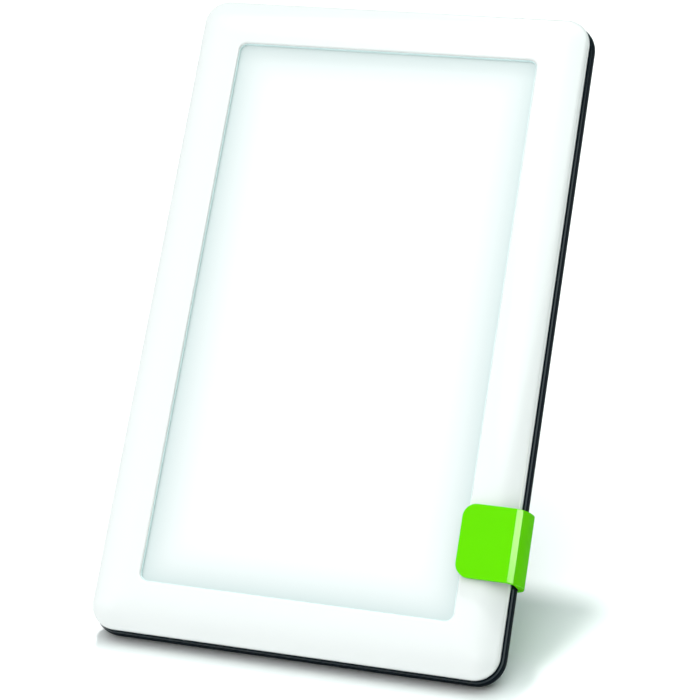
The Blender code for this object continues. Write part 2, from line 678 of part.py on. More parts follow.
def build_light_board(lamp, finishes):
    """Light board with its packages in one body, and the aluminium sheet that takes its heat."""
    bm = prism(board_outline(), "y", BOARD_Y, BOARD_Y + BOARD_THICKNESS)
    light_board = add_piece("led_board", bm, finishes["board"], lamp)
    lights = bmesh.new()
    for x, z in light_places():
        add_block(lights, around(x, LIGHT_WIDTH), (BOARD_Y - LIGHT_HEIGHT, BOARD_Y + SINK),
                  around(z, LIGHT_LENGTH))
    add_tool(light_board, "packages", lights, "UNION")
    add_tool(light_board, "holes", board_screw_holes(), "DIFFERENCE")
    half_width = WINDOW_WIDTH / 2 - BOARD_MARGIN
    low = WINDOW_BOTTOM + BOARD_MARGIN + SPREADER_NOTCH
    high = FRAME_HEIGHT - END_BEZEL - BOARD_MARGIN
    bm = prism(rectangle(-half_width, half_width, low, high, WINDOW_CORNER), "y",
               SPREADER_Y, SPREADER_Y + SPREADER_THICKNESS)
    spreader = add_piece("heat_spreader", bm, finishes["metal"], lamp)
    add_tool(spreader, "holes", board_screw_holes(), "DIFFERENCE")


def build_driver(lamp, finishes):
    """Driver strip with the parts that stand on its rear face."""
    low_x, high_x = around(0.0, DRIVER_WIDTH)
    bm = prism(rectangle(low_x, high_x, DRIVER_LOW, DRIVER_LOW + DRIVER_HEIGHT), "y",
               DRIVER_DEPTH, DRIVER_TOP_Y)
    board = add_piece("driver_board", bm, finishes["circuit"], lamp)
    holes = bmesh.new()
    for x, z in driver_screw_places():
        add_prism(holes, circle(x, z, BOARD_SCREW_SHANK_RADIUS + FIT), "y", DRIVER_DEPTH - CUT, SEAT_Y)
    add_tool(board, "holes", holes, "DIFFERENCE")
    for name in ("input_capacitor", "output_capacitor"):
        can = circle(row_x(name), DRIVER_Z, CAPACITOR_RADIUS)
        add_piece(name, prism(can, "y", SEAT_Y, FLOOR_Y - CAPACITOR_HEADROOM), finishes["sleeve"], lamp)
    low_x, high_x = around(row_x("inductor"), INDUCTOR_SIDE)
    low_z, high_z = around(DRIVER_Z, INDUCTOR_SIDE)
    core = rectangle(low_x, high_x, low_z, high_z, INDUCTOR_CORNER)
    add_piece("inductor", prism(core, "y", SEAT_Y, FLOOR_Y - INDUCTOR_HEADROOM), finishes["ferrite"], lamp)
    for name, length, height, colour in (
            ("driver_chip", CHIP_LENGTH, CHIP_HEIGHT, "chip"),
            ("led_connector", CONNECTOR_LENGTH, CONNECTOR_HEIGHT, "nylon")):
        bm = bmesh.new()
        add_block(bm, around(row_x(name), ROW_WIDTHS[name]), (SEAT_Y, SEAT_Y + height),
                  around(DRIVER_Z, length))
        add_piece(name, bm, finishes[colour], lamp)


def build_switch(lamp, chip):
    """Tact switch: a square case with the round stem that the button pushes."""
    x = row_x("tact_switch")
    bm = bmesh.new()
    add_block(bm, around(x, SWITCH_SIDE), (SEAT_Y, SEAT_Y + SWITCH_BODY), around(DRIVER_Z, SWITCH_SIDE))
    switch = add_piece("tact_switch", bm, chip, lamp)
    stem = prism(circle(x, DRIVER_Z, SWITCH_STEM_RADIUS), "y",
                 SEAT_Y + SWITCH_BODY - SINK, FLANGE_FRONT_Y - BUTTON_TRAVEL - FIT)
    add_tool(switch, "stem", stem, "UNION")


def build_socket(lamp, chip):
    """Adapter socket: a square body, a round nose in the housing's hole, a bore and a centre pin."""
    x = row_x("dc_socket")
    body_back = FLOOR_Y - SOCKET_HEADROOM
    bm = bmesh.new()
    add_block(bm, around(x, SOCKET_SIDE), (SEAT_Y, body_back), around(DRIVER_Z, SOCKET_SIDE))
    socket = add_piece("dc_socket", bm, chip, lamp)
    nose_back = THICKNESS - SOCKET_FLUSH
    nose = prism(circle(x, DRIVER_Z, SOCKET_NOSE_RADIUS), "y", body_back - SINK, nose_back)
    add_tool(socket, "nose", nose, "UNION")
    bore_front = SEAT_Y + SOCKET_FLOOR
    bore = prism(circle(x, DRIVER_Z, SOCKET_BORE_RADIUS), "y", bore_front, nose_back + CUT)
    add_tool(socket, "bore", bore, "DIFFERENCE")
    pin = prism(circle(x, DRIVER_Z, SOCKET_PIN_RADIUS), "y", bore_front - SINK, nose_back - CUT)
    add_tool(socket, "pin", pin, "UNION")


def build_leads(lamp, finishes):
    """Two short wires from the connector's top up to the rear of the light board's tab."""
    start_y = SEAT_Y + CONNECTOR_HEIGHT / 2
    start_z = DRIVER_Z + CONNECTOR_LENGTH / 2 + FIT
    end_y = BOARD_Y + BOARD_THICKNESS + FIT
    end_z = WINDOW_BOTTOM + BOARD_MARGIN - TAB_DROP / 2
    bow_y = end_y + LEAD_BOW_SHARE * (FLOOR_Y - end_y)
    for side, (name, colour) in zip((-1, 1), (("led_lead_red", "red"), ("led_lead_black", "sleeve"))):
        x = row_x("led_connector") + side * LEAD_SPACING / 2
        route = ((start_y, start_z), (start_y, start_z + LEAD_REACH / 2), (bow_y, end_z), (end_y, end_z))
        path = bpy.data.curves.new(name, "CURVE")
        path.dimensions = "3D"
        path.bevel_depth = LEAD_RADIUS
        path.bevel_resolution = 2
        path.use_fill_caps = True
        line = path.splines.new("POLY")
        points = smooth_route(route)
        line.points.add(len(points) - 1)
        for target, (y, z) in zip(line.points, points):
            target.co = (x, y, z, 1.0)
        path.materials.append(finishes[colour])
        lead = bpy.data.objects.new(name, path)
        lead.parent = lamp
        bpy.context.collection.objects.link(lead)


def smooth_route(route, steps=8):
    """Points of the cubic Bezier curve on four (y, z) control points."""
    points = []
    for step in range(steps + 1):
        t = step / steps
        weights = ((1 - t) ** 3, 3 * t * (1 - t) ** 2, 3 * t * t * (1 - t), t ** 3)
        points.append(tuple(sum(w * point[axis] for w, point in zip(weights, route)) for axis in (0, 1)))
    return points


def build_feet(lamp, rubber):
    """Two rubber strips let into the lower rear edge, flat underneath."""
    back, _ = level(EDGE_CENTRE_Y, EDGE_CENTRE_Z)
    for name, side in (("foot_left", -1), ("foot_right", 1)):
        bm = bmesh.new()
        add_block(bm, around(side * FOOT_X, FOOT_LENGTH), (back - FOOT_FRONT, back + FOOT_BACK),
                  (TABLE, TABLE + FOOT_PROUD + FOOT_SEAT))
        stand_upright(bm)
        add_piece(name, bm, rubber, lamp)


def clip_outline():
    """Section of the clip across the lamp's edge: front flap, chamfer, bowed side and the long rear arm."""
    left = WINDOW_WIDTH / 2 - CLIP_LAP
    edge = HALF_FRAME + CLIP_REACH
    front = -FIT - CLIP_WALL
    side_x = edge + CLIP_SIDE_BOW - CLIP_SIDE_SWEEP
    side_depth = CLIP_BACK - CLIP_SIDE_DEPTH
    points = [(left, -FIT), (left, front), (edge - CLIP_CHAMFER_WIDTH, front)]
    points.append((edge, front + CLIP_CHAMFER_DEPTH))
    for angle in SIDE_ANGLES:
        turn = math.radians(angle)
        points.append((side_x + CLIP_SIDE_SWEEP * math.cos(turn),
                       CLIP_SIDE_DEPTH + side_depth * math.sin(turn)))
    points.append((side_x, CLIP_BACK))
    points += [(HINGE_X, CLIP_BACK), (HINGE_X, ARM_Y)]
    inner = arc_points(HALF_FRAME + REAR_BULGE - REAR_RADIUS, EDGE_CENTRE_Y, REAR_RADIUS + FIT, 90.0, 0.0,
                       EDGE_STEPS)
    points += inner
    points += [(inner[-1][0], CLIP_NOSE_RELIEF - FIT), (inner[-1][0] - CLIP_NOSE_RELIEF, -FIT)]
    return points


def build_clip(slide, green):
    """Green clip: the section run up the edge, round flap corners, hinge knuckles and a slot for the leg."""
    bm = prism(clip_outline(), "z", CLIP_BOTTOM, CLIP_TOP)
    left = WINDOW_WIDTH / 2 - CLIP_LAP
    flap_corners = [edge for edge in bm.edges
                    if all(abs(vert.co.x - left) < FIT for vert in edge.verts)
                    and abs(edge.verts[0].co.z - edge.verts[1].co.z) < FIT]
    bmesh.ops.bevel(bm, geom=flap_corners, offset=CLIP_CORNER, segments=CORNER_STEPS,
                     profile=ROUND_PROFILE_SHARE, affect="EDGES")
    clip = add_piece("stand_clip", bm, green, slide)
    knuckles = bmesh.new()
    knuckle = circle(HINGE_X, HINGE_Y, KNUCKLE_RADIUS, KNUCKLE_SIDES)
    add_prism(knuckles, knuckle, "z", KNUCKLES_LOW, CLIP_BOTTOM + KNUCKLE_LENGTH + CUT)
    add_prism(knuckles, knuckle, "z", CLIP_TOP - KNUCKLE_LENGTH - CUT, KNUCKLES_HIGH)
    add_tool(clip, "knuckles", knuckles, "UNION")
    slot = bmesh.new()
    swing = KNUCKLE_RADIUS + HINGE_RELIEF
    slot_z = (CLIP_BOTTOM + KNUCKLE_LENGTH, CLIP_TOP - KNUCKLE_LENGTH)
    add_block(slot, (HINGE_X - swing, HINGE_X + swing), (ARM_Y - CUT, HINGE_Y + swing), slot_z)
    add_tool(clip, "slot", slot, "DIFFERENCE")
    bore = prism(circle(HINGE_X, HINGE_Y, PIN_RADIUS + FIT), "z", CLIP_BOTTOM - CUT, CLIP_TOP + CUT)
    add_tool(clip, "bore", bore, "DIFFERENCE")


def build_hinge(slide, finishes):
    """Hinge pin with a round head, and a nylon friction washer on each side of the leg's knuckle."""
    bm = bmesh.new()
    head = KNUCKLES_HIGH + FIT
    profile = [(PIN_RADIUS, KNUCKLES_LOW), (PIN_RADIUS, head), (PIN_HEAD_RADIUS, head),
               (PIN_HEAD_RADIUS, head + PIN_HEAD_HEIGHT / 2), (PIN_RADIUS, head + PIN_HEAD_HEIGHT)]
    loops = [[(x, y, z) for x, y in circle(HINGE_X, HINGE_Y, radius)] for radius, z in profile]
    add_face_loops(bm, loops, closed=False)
    add_piece("hinge_pin", bm, finishes["steel"], slide, origin=HINGE_PLACE)
    lower = CLIP_BOTTOM + KNUCKLE_LENGTH + FIT
    upper = CLIP_TOP - KNUCKLE_LENGTH - FIT - WASHER_THICKNESS
    for name, low in (("friction_washer_lower", lower), ("friction_washer_upper", upper)):
        rings = ((KNUCKLE_RADIUS, low), (KNUCKLE_RADIUS, low + WASHER_THICKNESS),
                 (PIN_RADIUS + FIT, low + WASHER_THICKNESS), (PIN_RADIUS + FIT, low))
        bm = bmesh.new()
        loops = [[(x, y, z) for x, y in circle(HINGE_X, HINGE_Y, radius)] for radius, z in rings]
        add_face_loops(bm, loops, closed=True)
        add_piece(name, bm, finishes["nylon"], slide, origin=HINGE_PLACE)


def leg_heel():
    """Depth at which the leg's cut lower edge meets the level of the clip's underside."""
    return (CLIP_BOTTOM * math.cos(LEAN) - TABLE - LEG_EDGE_HEIGHT) / math.sin(LEAN)


def leg_outline():
    """Side view of the leg: a neck at the hinge, shoulders, and a lower edge cut level with the table."""
    shoulder = HINGE_Y + KNUCKLE_RADIUS + HINGE_RELIEF
    tip_z = sole_line_z(LEG_TIP, LEG_EDGE_HEIGHT)
    top = max(CLIP_TOP, tip_z + LEG_TIP_HEIGHT)
    neck_low = LEG_NECK_BOTTOM + SINK
    neck_high = LEG_NECK_TOP - SINK
    return rounded_outline([
        ((HINGE_Y, neck_low), 0.0), ((shoulder, neck_low), 0.0),
        ((shoulder, CLIP_BOTTOM), LEG_SHOULDER_CORNER), ((leg_heel(), CLIP_BOTTOM), LEG_HEEL_CORNER),
        ((LEG_TIP, tip_z), LEG_HEEL_CORNER), ((LEG_TIP, top), LEG_TIP_CORNER),
        ((shoulder, top), LEG_SHOULDER_CORNER), ((shoulder, neck_high), 0.0),
        ((HINGE_Y, neck_high), 0.0)])


def build_leg(hinge, green):
    """Folding leg: a flat fin that ends in the middle knuckle of the hinge."""
    bm = prism(leg_outline(), "x", *around(HINGE_X, LEG_THICKNESS))
    leg = add_piece("stand_leg", bm, green, hinge, origin=HINGE_PLACE)
    outline = circle(HINGE_X, HINGE_Y, KNUCKLE_RADIUS, KNUCKLE_SIDES)
    knuckle = prism(outline, "z", LEG_NECK_BOTTOM, LEG_NECK_TOP)
    add_tool(leg, "knuckle", knuckle, "UNION")
    bore = prism(circle(HINGE_X, HINGE_Y, PIN_RADIUS + FIT), "z", CLIP_BOTTOM - CUT, CLIP_TOP + CUT)
    add_tool(leg, "bore", bore, "DIFFERENCE")


def build_sole(hinge, rubber):
    """Rubber channel pushed up over the leg's lower edge, flat on the table."""
    half_slot = LEG_THICKNESS / 2 + FIT
    half_width = half_slot + SOLE_WALL
    rise = LEG_EDGE_HEIGHT + SOLE_RISE
    outline = [(HINGE_X + x, TABLE + z) for x, z in (
        (-half_width, 0.0), (half_width, 0.0), (half_width, rise), (half_slot, rise),
        (half_slot, SOLE_THICKNESS), (-half_slot, SOLE_THICKNESS), (-half_slot, rise), (-half_width, rise))]
    back_start, _ = level(leg_heel(), CLIP_BOTTOM)
    back_end, _ = level(LEG_TIP, sole_line_z(LEG_TIP, LEG_EDGE_HEIGHT))
    bm = prism(outline, "y", back_start + SOLE_END, back_end - SOLE_END)
    stand_upright(bm)
    add_piece("leg_sole", bm, rubber, hinge, origin=HINGE_PLACE)


def add_empty(name, parent, location=(0.0, 0.0, 0.0)):
    empty = bpy.data.objects.new(name, None)
    empty.parent = parent
    empty.location = location
    bpy.context.collection.objects.link(empty)
    return empty


def stand_on_table(lamp):
    """Lifts the lamp onto z = 0 and centres its outline over the origin."""
    lamp.rotation_euler = (-LEAN, 0.0, 0.0)
    lamp.location = (0.0, 0.0, -TABLE)
    bpy.context.view_layer.update()
    graph = bpy.context.evaluated_depsgraph_get()
    corners = []
    for obj in bpy.context.scene.objects:
        if obj.type == "MESH" and not obj.hide_render:
            shape = obj.evaluated_get(graph)
            corners += [obj.matrix_world @ vert.co for vert in shape.data.vertices]
    for axis in (0, 1):
        values = [corner[axis] for corner in corners]
        lamp.location[axis] -= (min(values) + max(values)) / 2


def main():
    for obj in list(bpy.data.objects):
        bpy.data.objects.remove(obj)
    finishes = {
        "white": plain_material("glossy_white_abs", (0.86, 0.89, 0.89), 0.12),
        "black": plain_material("satin_black_abs", (0.008, 0.012, 0.016), 0.32),
        "green": plain_material("lime_green_abs", (0.14, 0.80, 0.0), 0.28),
        "grey": plain_material("grey_button_abs", (0.30, 0.32, 0.33), 0.4),
        "opal": plain_material("opal_acrylic", (0.93, 0.96, 0.96), 0.25),
        "foam": plain_material("black_foam", (0.03, 0.03, 0.03), 0.9),
        "reflector": plain_material("white_reflector", (0.9, 0.9, 0.9), 0.6),
        "board": plain_material("white_solder_mask", (0.85, 0.86, 0.86), 0.4),
        "metal": plain_material("aluminium_sheet", (0.80, 0.81, 0.82), 0.35, 1.0),
        "circuit": plain_material("green_circuit_board", (0.02, 0.16, 0.06), 0.45),
        "sleeve": plain_material("black_sleeve", (0.015, 0.016, 0.02), 0.4),
        "ferrite": plain_material("ferrite", (0.05, 0.05, 0.055), 0.7),
        "chip": plain_material("black_epoxy", (0.02, 0.02, 0.02), 0.5),
        "nylon": plain_material("natural_nylon", (0.78, 0.76, 0.70), 0.45),
        "red": plain_material("red_insulation", (0.55, 0.02, 0.02), 0.45),
        "rubber": plain_material("black_rubber", (0.02, 0.02, 0.022), 0.85),
        "steel": plain_material("zinc_plated_steel", (0.56, 0.57, 0.60), 0.35, 1.0),
    }
    lamp = add_empty("lamp", None)
    slide = add_empty("clip_slide", lamp)
    hinge = add_empty("leg_hinge", slide, HINGE_PLACE)
    build_front_frame(lamp, finishes["white"])
    build_rear_housing(lamp, finishes["black"])
    build_optics(lamp, finishes)
    build_light_board(lamp, finishes)
    build_driver(lamp, finishes)
    build_switch(lamp, finishes["chip"])
    build_socket(lamp, finishes["chip"])
    build_leads(lamp, finishes)
    build_screws(lamp, finishes["steel"])
    build_button(lamp, finishes["grey"])
    build_feet(lamp, finishes["rubber"])
    build_clip(slide, finishes["green"])
    build_hinge(slide, finishes)
    build_leg(hinge, finishes["green"])
    build_sole(hinge, finishes["rubber"])
    stand_on_table(lamp)


main()
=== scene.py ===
"""Slim light therapy lamp on its clip-on folding stand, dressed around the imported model.

The script is laid out as an add-on and runs as a script. Pieces are worked out in the lamp's own frame and
then leant back and stood on the table. In that frame x runs across the lit face, y from the face to the back
and z up from the white front's bottom edge, and y = 0 is the front's crown. All sizes are in metres.
"""

import json
import math

import bmesh
import bpy
import numpy as np
from bpy.props import FloatProperty, FloatVectorProperty, IntProperty, PointerProperty
from bpy.types import Operator, Panel, PropertyGroup
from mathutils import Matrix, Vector


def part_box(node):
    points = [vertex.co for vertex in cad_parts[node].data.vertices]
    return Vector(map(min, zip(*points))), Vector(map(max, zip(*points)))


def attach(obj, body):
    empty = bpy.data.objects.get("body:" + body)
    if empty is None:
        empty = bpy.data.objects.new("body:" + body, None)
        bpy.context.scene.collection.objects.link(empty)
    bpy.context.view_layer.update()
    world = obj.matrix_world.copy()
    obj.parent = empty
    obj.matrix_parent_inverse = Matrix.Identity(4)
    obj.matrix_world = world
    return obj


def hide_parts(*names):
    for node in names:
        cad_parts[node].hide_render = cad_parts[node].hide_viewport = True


bl_info = {
    "name": "Light Therapy Lamp",
    "version": (1, 0, 0),
    "blender": (4, 5, 0),
    "location": "View3D > Sidebar > Lamp",
    "description": "Dresses a tablet-shaped light therapy lamp with its folding clip-on stand",
    "category": "Object",
}

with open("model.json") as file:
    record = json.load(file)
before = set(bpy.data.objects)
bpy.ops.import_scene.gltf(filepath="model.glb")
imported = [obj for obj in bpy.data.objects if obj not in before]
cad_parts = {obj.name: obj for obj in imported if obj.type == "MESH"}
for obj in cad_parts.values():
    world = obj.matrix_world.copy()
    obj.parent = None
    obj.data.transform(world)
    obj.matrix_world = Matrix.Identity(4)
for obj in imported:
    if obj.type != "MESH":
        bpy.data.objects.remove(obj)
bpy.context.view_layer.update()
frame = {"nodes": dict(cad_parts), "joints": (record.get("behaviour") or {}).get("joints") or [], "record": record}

# How the lamp stands
LEAN = math.radians(35.0)
COS = math.cos(LEAN)
SIN = math.sin(LEAN)

# Clearances
FIT = 0.0003
CUT = 0.001
SINK = 0.0004

# White front frame
WINDOW_WIDTH = 0.120
WINDOW_HEIGHT = 0.217
WINDOW_CORNER = 0.0032
FRAME_CORNER = 0.0095
FRAME_WALL = 0.002
SIDE_BEZEL = 0.018
END_BEZEL = 0.019
WINDOW_LIP = 0.0017
WINDOW_EDGE_ROUND = 0.0007
CROWN_FLAT = 0.0030
CROWN_FALL = 0.0026
SHOULDER = 0.0024
SHOULDER_PULL = 0.0014
PARTING_DEPTH = 0.0070
LOCATING_RIB = 0.0012
FRAME_WIDTH = WINDOW_WIDTH + 2 * SIDE_BEZEL
FRAME_HEIGHT = WINDOW_HEIGHT + 2 * END_BEZEL
HALF_FRAME = FRAME_WIDTH / 2
MIDDLE_Z = FRAME_HEIGHT / 2

# Opal plate, and the grey-teal lip round the window whose colour paints the shade in the window's step
PLATE_LAP = 0.0030
PLATE_THICKNESS = 0.0020
PLATE_Y = WINDOW_LIP + FIT
WINDOW_GLOW = 0.61
# Size of the thin lip that carries the painted shade along the window's edge
SHADE_LIP_WALL = 0.00022
SHADE_LIP_REACH = 0.00015

# Black rear housing
THICKNESS = 0.020
GROOVE = 0.0008
REAR_BULGE = 0.00135
REAR_RADIUS = 0.0075
HOUSING_WALL = 0.002
TONGUE_WALL = 0.0012
TONGUE_RISE = 0.0018
HOUSING_FRONT = PARTING_DEPTH + GROOVE
GLOSS_START = HOUSING_FRONT + 0.0006
GLOSS_END = HOUSING_FRONT + 0.0018
EDGE_CENTRE_Y = THICKNESS - REAR_RADIUS
EDGE_CENTRE_Z = REAR_RADIUS - REAR_BULGE
FLOOR_Y = THICKNESS - HOUSING_WALL
TONGUE_OUTER = FRAME_WALL + FIT
TONGUE_INNER = TONGUE_OUTER + TONGUE_WALL
BACK_MARGIN = 0.0006

# Screws
SCREW_INSET = 0.010
SCREW_HEAD_RADIUS = 0.0025
SCREW_HEAD_HEIGHT = 0.0016
SCREW_SHANK_RADIUS = 0.0011
SCREW_LENGTH = 0.0080
SCREW_RECESS = 0.0026
SCREW_SEAT_WALL = 0.0018
SCREW_CROSS_WIDTH = 0.00042
SCREW_CROSS_REACH = 0.0015
SCREW_CROSS_DEPTH = 0.0009
SCREW_CROSS_SLOPE = 0.00015
SCREW_RIM = 0.45
SCREW_TIP = 0.3
BOSS_WALL = 0.0018
RECESS_RADIUS = SCREW_HEAD_RADIUS + FIT
RECESS_FLOOR_Y = THICKNESS - SCREW_RECESS
SEAT_FRONT_Y = RECESS_FLOOR_Y - SCREW_SEAT_WALL
BOARD_POST_RADIUS = 0.0032
BOARD_POST_HEIGHT = 0.0039
BOARD_SCREW_SHANK_RADIUS = 0.0009
BOARD_SCREW_COUNT = 4

# Button, socket, vents and feet
DRIVER_Z = 0.00975
BUTTON_WIDTH = 0.0140
BUTTON_HEIGHT = 0.0064
BUTTON_PROUD = 0.0008
BUTTON_DISH = 0.0003
BUTTON_EDGE = 0.0006
BUTTON_DISH_RUN = 0.0022
BUTTON_FLANGE = 0.0012
BUTTON_FLANGE_DEPTH = 0.001
ROUND_END = 0.95
SOCKET_NOSE_RADIUS = 0.0041
SOCKET_BORE_RADIUS = 0.0028
SOCKET_PIN_RADIUS = 0.0010
SOCKET_FLUSH = 0.0003
SOCKET_BORE_DEPTH = 0.0090
SOCKET_EDGE = 0.00035
SOCKET_PIN_BACK = 0.003
SOCKET_PIN_CHAMFER = 0.0006
SOCKET_PIN_TIP = 0.6
VENT_COUNT = 9
VENT_WIDTH = 0.0020
VENT_LENGTH = 0.0160
VENT_PITCH = 0.0055
UPPER_VENT_Z = FRAME_HEIGHT - 0.033
LOWER_VENT_Z = 0.0275
FOOT_FRONT = 0.0010
FOOT_BACK = 0.0036
FOOT_SEAT = 0.0007
FOOT_PROUD = 0.0004
FOOT_CORNER = 0.0006
FOOT_EDGE = 0.0001
FOOT_LENGTH = 0.026
FOOT_X = HALF_FRAME - 0.030

# Green clip
CLIP_BOTTOM = 0.0352
CLIP_HEIGHT = 0.027
CLIP_TOP = CLIP_BOTTOM + CLIP_HEIGHT
CLIP_WALL = 0.0020
CLIP_LAP = 0.0017
CLIP_REACH = 0.0018
CLIP_CHAMFER_WIDTH = 0.0020
CLIP_CHAMFER_DEPTH = 0.0017
CLIP_CORNER = 0.0050
CLIP_SIDE_BOW = 0.0025
CLIP_SIDE_DEPTH = 0.0085
CLIP_SIDE_SWEEP = 0.0106
CLIP_SIDE_START = -25.0
CLIP_NOSE_RELIEF = 0.0023
ARM_THICKNESS = 0.0026
ARM_Y = THICKNESS + FIT
CLIP_BACK = ARM_Y + ARM_THICKNESS

# Hinge, leg and sole
HINGE_X = 0.008
KNUCKLE_RADIUS = 0.0036
KNUCKLE_LENGTH = 0.0058
PIN_RADIUS = 0.0015
PIN_HEAD_RADIUS = 0.0026
PIN_HEAD_HEIGHT = 0.0010
PIN_CHAMFER = 0.0003
PIN_TIP = 0.7
WASHER_THICKNESS = 0.0006
HINGE_RELIEF = 0.0008
HINGE_Y = ARM_Y + KNUCKLE_RADIUS
KNUCKLES_LOW = CLIP_BOTTOM - SINK
KNUCKLES_HIGH = CLIP_TOP + SINK
LEG_GAP = WASHER_THICKNESS + 2 * FIT
LEG_NECK_BOTTOM = CLIP_BOTTOM + KNUCKLE_LENGTH + LEG_GAP
LEG_NECK_TOP = CLIP_TOP - KNUCKLE_LENGTH - LEG_GAP
LEG_THICKNESS = 0.0032
LEG_TIP = 0.100
LEG_TIP_HEIGHT = 0.0060
LEG_TIP_CORNER = 0.0030
LEG_HEEL_CORNER = 0.0020
LEG_SHOULDER_CORNER = 0.0030
LEG_EDGE_HEIGHT = 0.0015
TABLE = EDGE_CENTRE_Z * COS - EDGE_CENTRE_Y * SIN - REAR_RADIUS - FOOT_PROUD

# Camera fitted to the photograph, and the studio
CAMERA_PLACE = (0.20797, -0.70831, 0.36571)
CAMERA_AIM = (0.00378, -0.01391, 0.10346)
CAMERA_LENS = 105.33
CAMERA_SENSOR = 36.0
FLOOR_REACH = 60.0
SKY_TOWARDS = (-0.40, -0.73, 0.55)
SKY_EDGE = 0.55
SKY_FULL = 0.95
SKY_DARK = (0.045, 0.070, 0.065)
SKY_BRIGHT = (1.0, 1.0, 1.0)
SKY_STRENGTH = 1.92

# Lights: name, kind, place, energy, other settings
LIGHTS = (
    # Lamp above and behind: throws the shadow to the right
    ("overhead", "SUN", (-0.125, 0.31, 1.1), 1.9, {"angle": math.radians(6.0)}),
    # Pale ceiling: fills the shadows with a cool light
    ("ceiling", "SUN", (0.18, -0.25, 1.1), 2.05, {"angle": math.radians(60.0), "color": (0.88, 1.0, 0.98)}),
    # Small warm lamp on the right: draws the highlight down the black rim
    ("edge", "AREA", (1.0, -0.2, 0.36), 0.65, {"size": 0.1, "color": (1.0, 0.97, 0.7)}),
)

# Copper tracks of the boards
TRACK_WIDTH = 0.0008
TRACK_PITCH = 0.003
TRACK_LENGTH = 0.009

# Smoothness
CORNER_STEPS = 16
ROUND_SIDES = 64
SMOOTH_ANGLE = math.radians(30.0)


def linear(colour):
    """Linear red, green and blue of an sRGB hex colour: a straight line up to 0.04045, then a power."""
    channels = np.array([int(colour[index:index + 2], 16) for index in (1, 3, 5)]) / 255
    return np.where(channels <= 0.04045, channels / 12.92, ((channels + 0.055) / 1.055) ** 2.4).tolist()


def lamp_place():
    """Where the lamp frame's origin lies: the record's hinge point less that point in the lamp's frame."""
    hinge = next(joint for joint in frame["joints"] if joint["name"] == "leg_fold")
    return np.array(hinge["pos_m"]) - lean(np.array((HINGE_X, HINGE_Y, (CLIP_BOTTOM + CLIP_TOP) / 2)))


def lean(points):
    """Turns points about x by the lean: y' = y cos + z sin, z' = z cos - y sin."""
    x, y, z = np.moveaxis(points, -1, 0)
    return np.stack((x, y * COS + z * SIN, z * COS - y * SIN), axis=-1)


def in_lamp(points):
    """World points seen from the lamp's frame: the lean undone."""
    x, y, z = np.moveaxis(np.asarray(points) - LAMP_PLACE, -1, 0)
    return np.stack((x, y * COS - z * SIN, y * SIN + z * COS), axis=-1)


LAMP_PLACE = lamp_place()


def rounded(half_a, half_b, radius, steps=CORNER_STEPS):
    """Rounded rectangles about zero, one a row: each corner's centre plus its radius times cos and sin."""
    half_a, half_b, radius = (np.atleast_1d(np.asarray(v, float))[:, None] for v in (half_a, half_b, radius))
    quarter = np.linspace(0.0, math.pi / 2, steps + 1)
    angle = np.concatenate([quarter + turn * math.pi / 2 for turn in range(4)])
    side_a = np.repeat((1, -1, -1, 1), steps + 1)
    side_b = np.repeat((1, 1, -1, -1), steps + 1)
    return (side_a * (half_a - radius) + radius * np.cos(angle),
            side_b * (half_b - radius) + radius * np.sin(angle))


def frame_size(inset):
    """Half sizes and corner radius of the frame's loop at an inset from its outer edge."""
    share = np.maximum(inset - SHOULDER, 0.0) / (SIDE_BEZEL - SHOULDER)
    return (HALF_FRAME - inset, MIDDLE_Z - inset - (END_BEZEL - SIDE_BEZEL) * share,
            np.maximum(FRAME_CORNER - inset, WINDOW_CORNER))


def window_size(lap):
    """Half sizes and corner radius of a loop at a constant distance outside the window's edge."""
    corner = WINDOW_CORNER + np.maximum(lap, -WINDOW_CORNER / 2)
    return WINDOW_WIDTH / 2 + lap, WINDOW_HEIGHT / 2 + lap, corner


def edge_size(offset):
    """Half sizes and corner radius of a loop at a constant distance outside the lamp's outer edge."""
    return HALF_FRAME + offset, MIDDLE_Z + offset, FRAME_CORNER + offset


def loops(sizes, depths):
    """Rings round the lit face, one for each depth."""
    x, z = rounded(*sizes)
    return np.stack((x, np.broadcast_to(np.asarray(depths)[:, None], x.shape), z + MIDDLE_Z), axis=-1)


def arc(centre_a, centre_b, radius, start, end, steps):
    """Points of an arc between two angles in degrees, a row each."""
    angle = np.radians(np.linspace(start, end, steps + 1))
    return np.stack((centre_a + radius * np.cos(angle), centre_b + radius * np.sin(angle)), axis=-1)


def bezier(points, steps):
    """Cubic Bezier curve: the four points weighted by the Bernstein polynomials."""
    t = np.linspace(0.0, 1.0, steps + 1)[:, None]
    weights = np.hstack(((1 - t) ** 3, 3 * t * (1 - t) ** 2, 3 * t * t * (1 - t), t ** 3))
    return weights @ np.array(points, float)


def fillet(corners, steps=8):
    """Outline with an arc of the given radius at each (a, b, radius) corner."""
    outline = []
    places = [Vector(corner[:2]) for corner in corners]
    for index, (here, (_, _, radius)) in enumerate(zip(places, corners)):
        if radius == 0.0:
            outline.append(np.array([here]))
            continue
        to_last = (places[index - 1] - here).normalized()
        to_next = (places[(index + 1) % len(places)] - here).normalized()
        half = to_last.angle(to_next) / 2
        centre = here + (to_last + to_next).normalized() * radius / math.sin(half)
        first = here + to_last * radius / math.tan(half) - centre
        turn = first.angle_signed(here + to_next * radius / math.tan(half) - centre)
        angle = math.atan2(first.y, first.x) - turn * np.linspace(0.0, 1.0, steps + 1)
        outline.append(np.array(centre) + radius * np.stack((np.cos(angle), np.sin(angle)), axis=-1))
    return np.concatenate(outline)


def prism(outline, axis, low, high):
    """Two rings of an outline drawn across x, y or z, at a low and a high place along it."""
    first, second = np.asarray(outline).T
    rings = []
    for place in (low, high):
        along = np.full(len(first), place)
        order = {"x": (along, first, second), "y": (first, along, second), "z": (first, second, along)}
        rings.append(np.stack(order[axis], axis=-1))
    return np.array(rings)


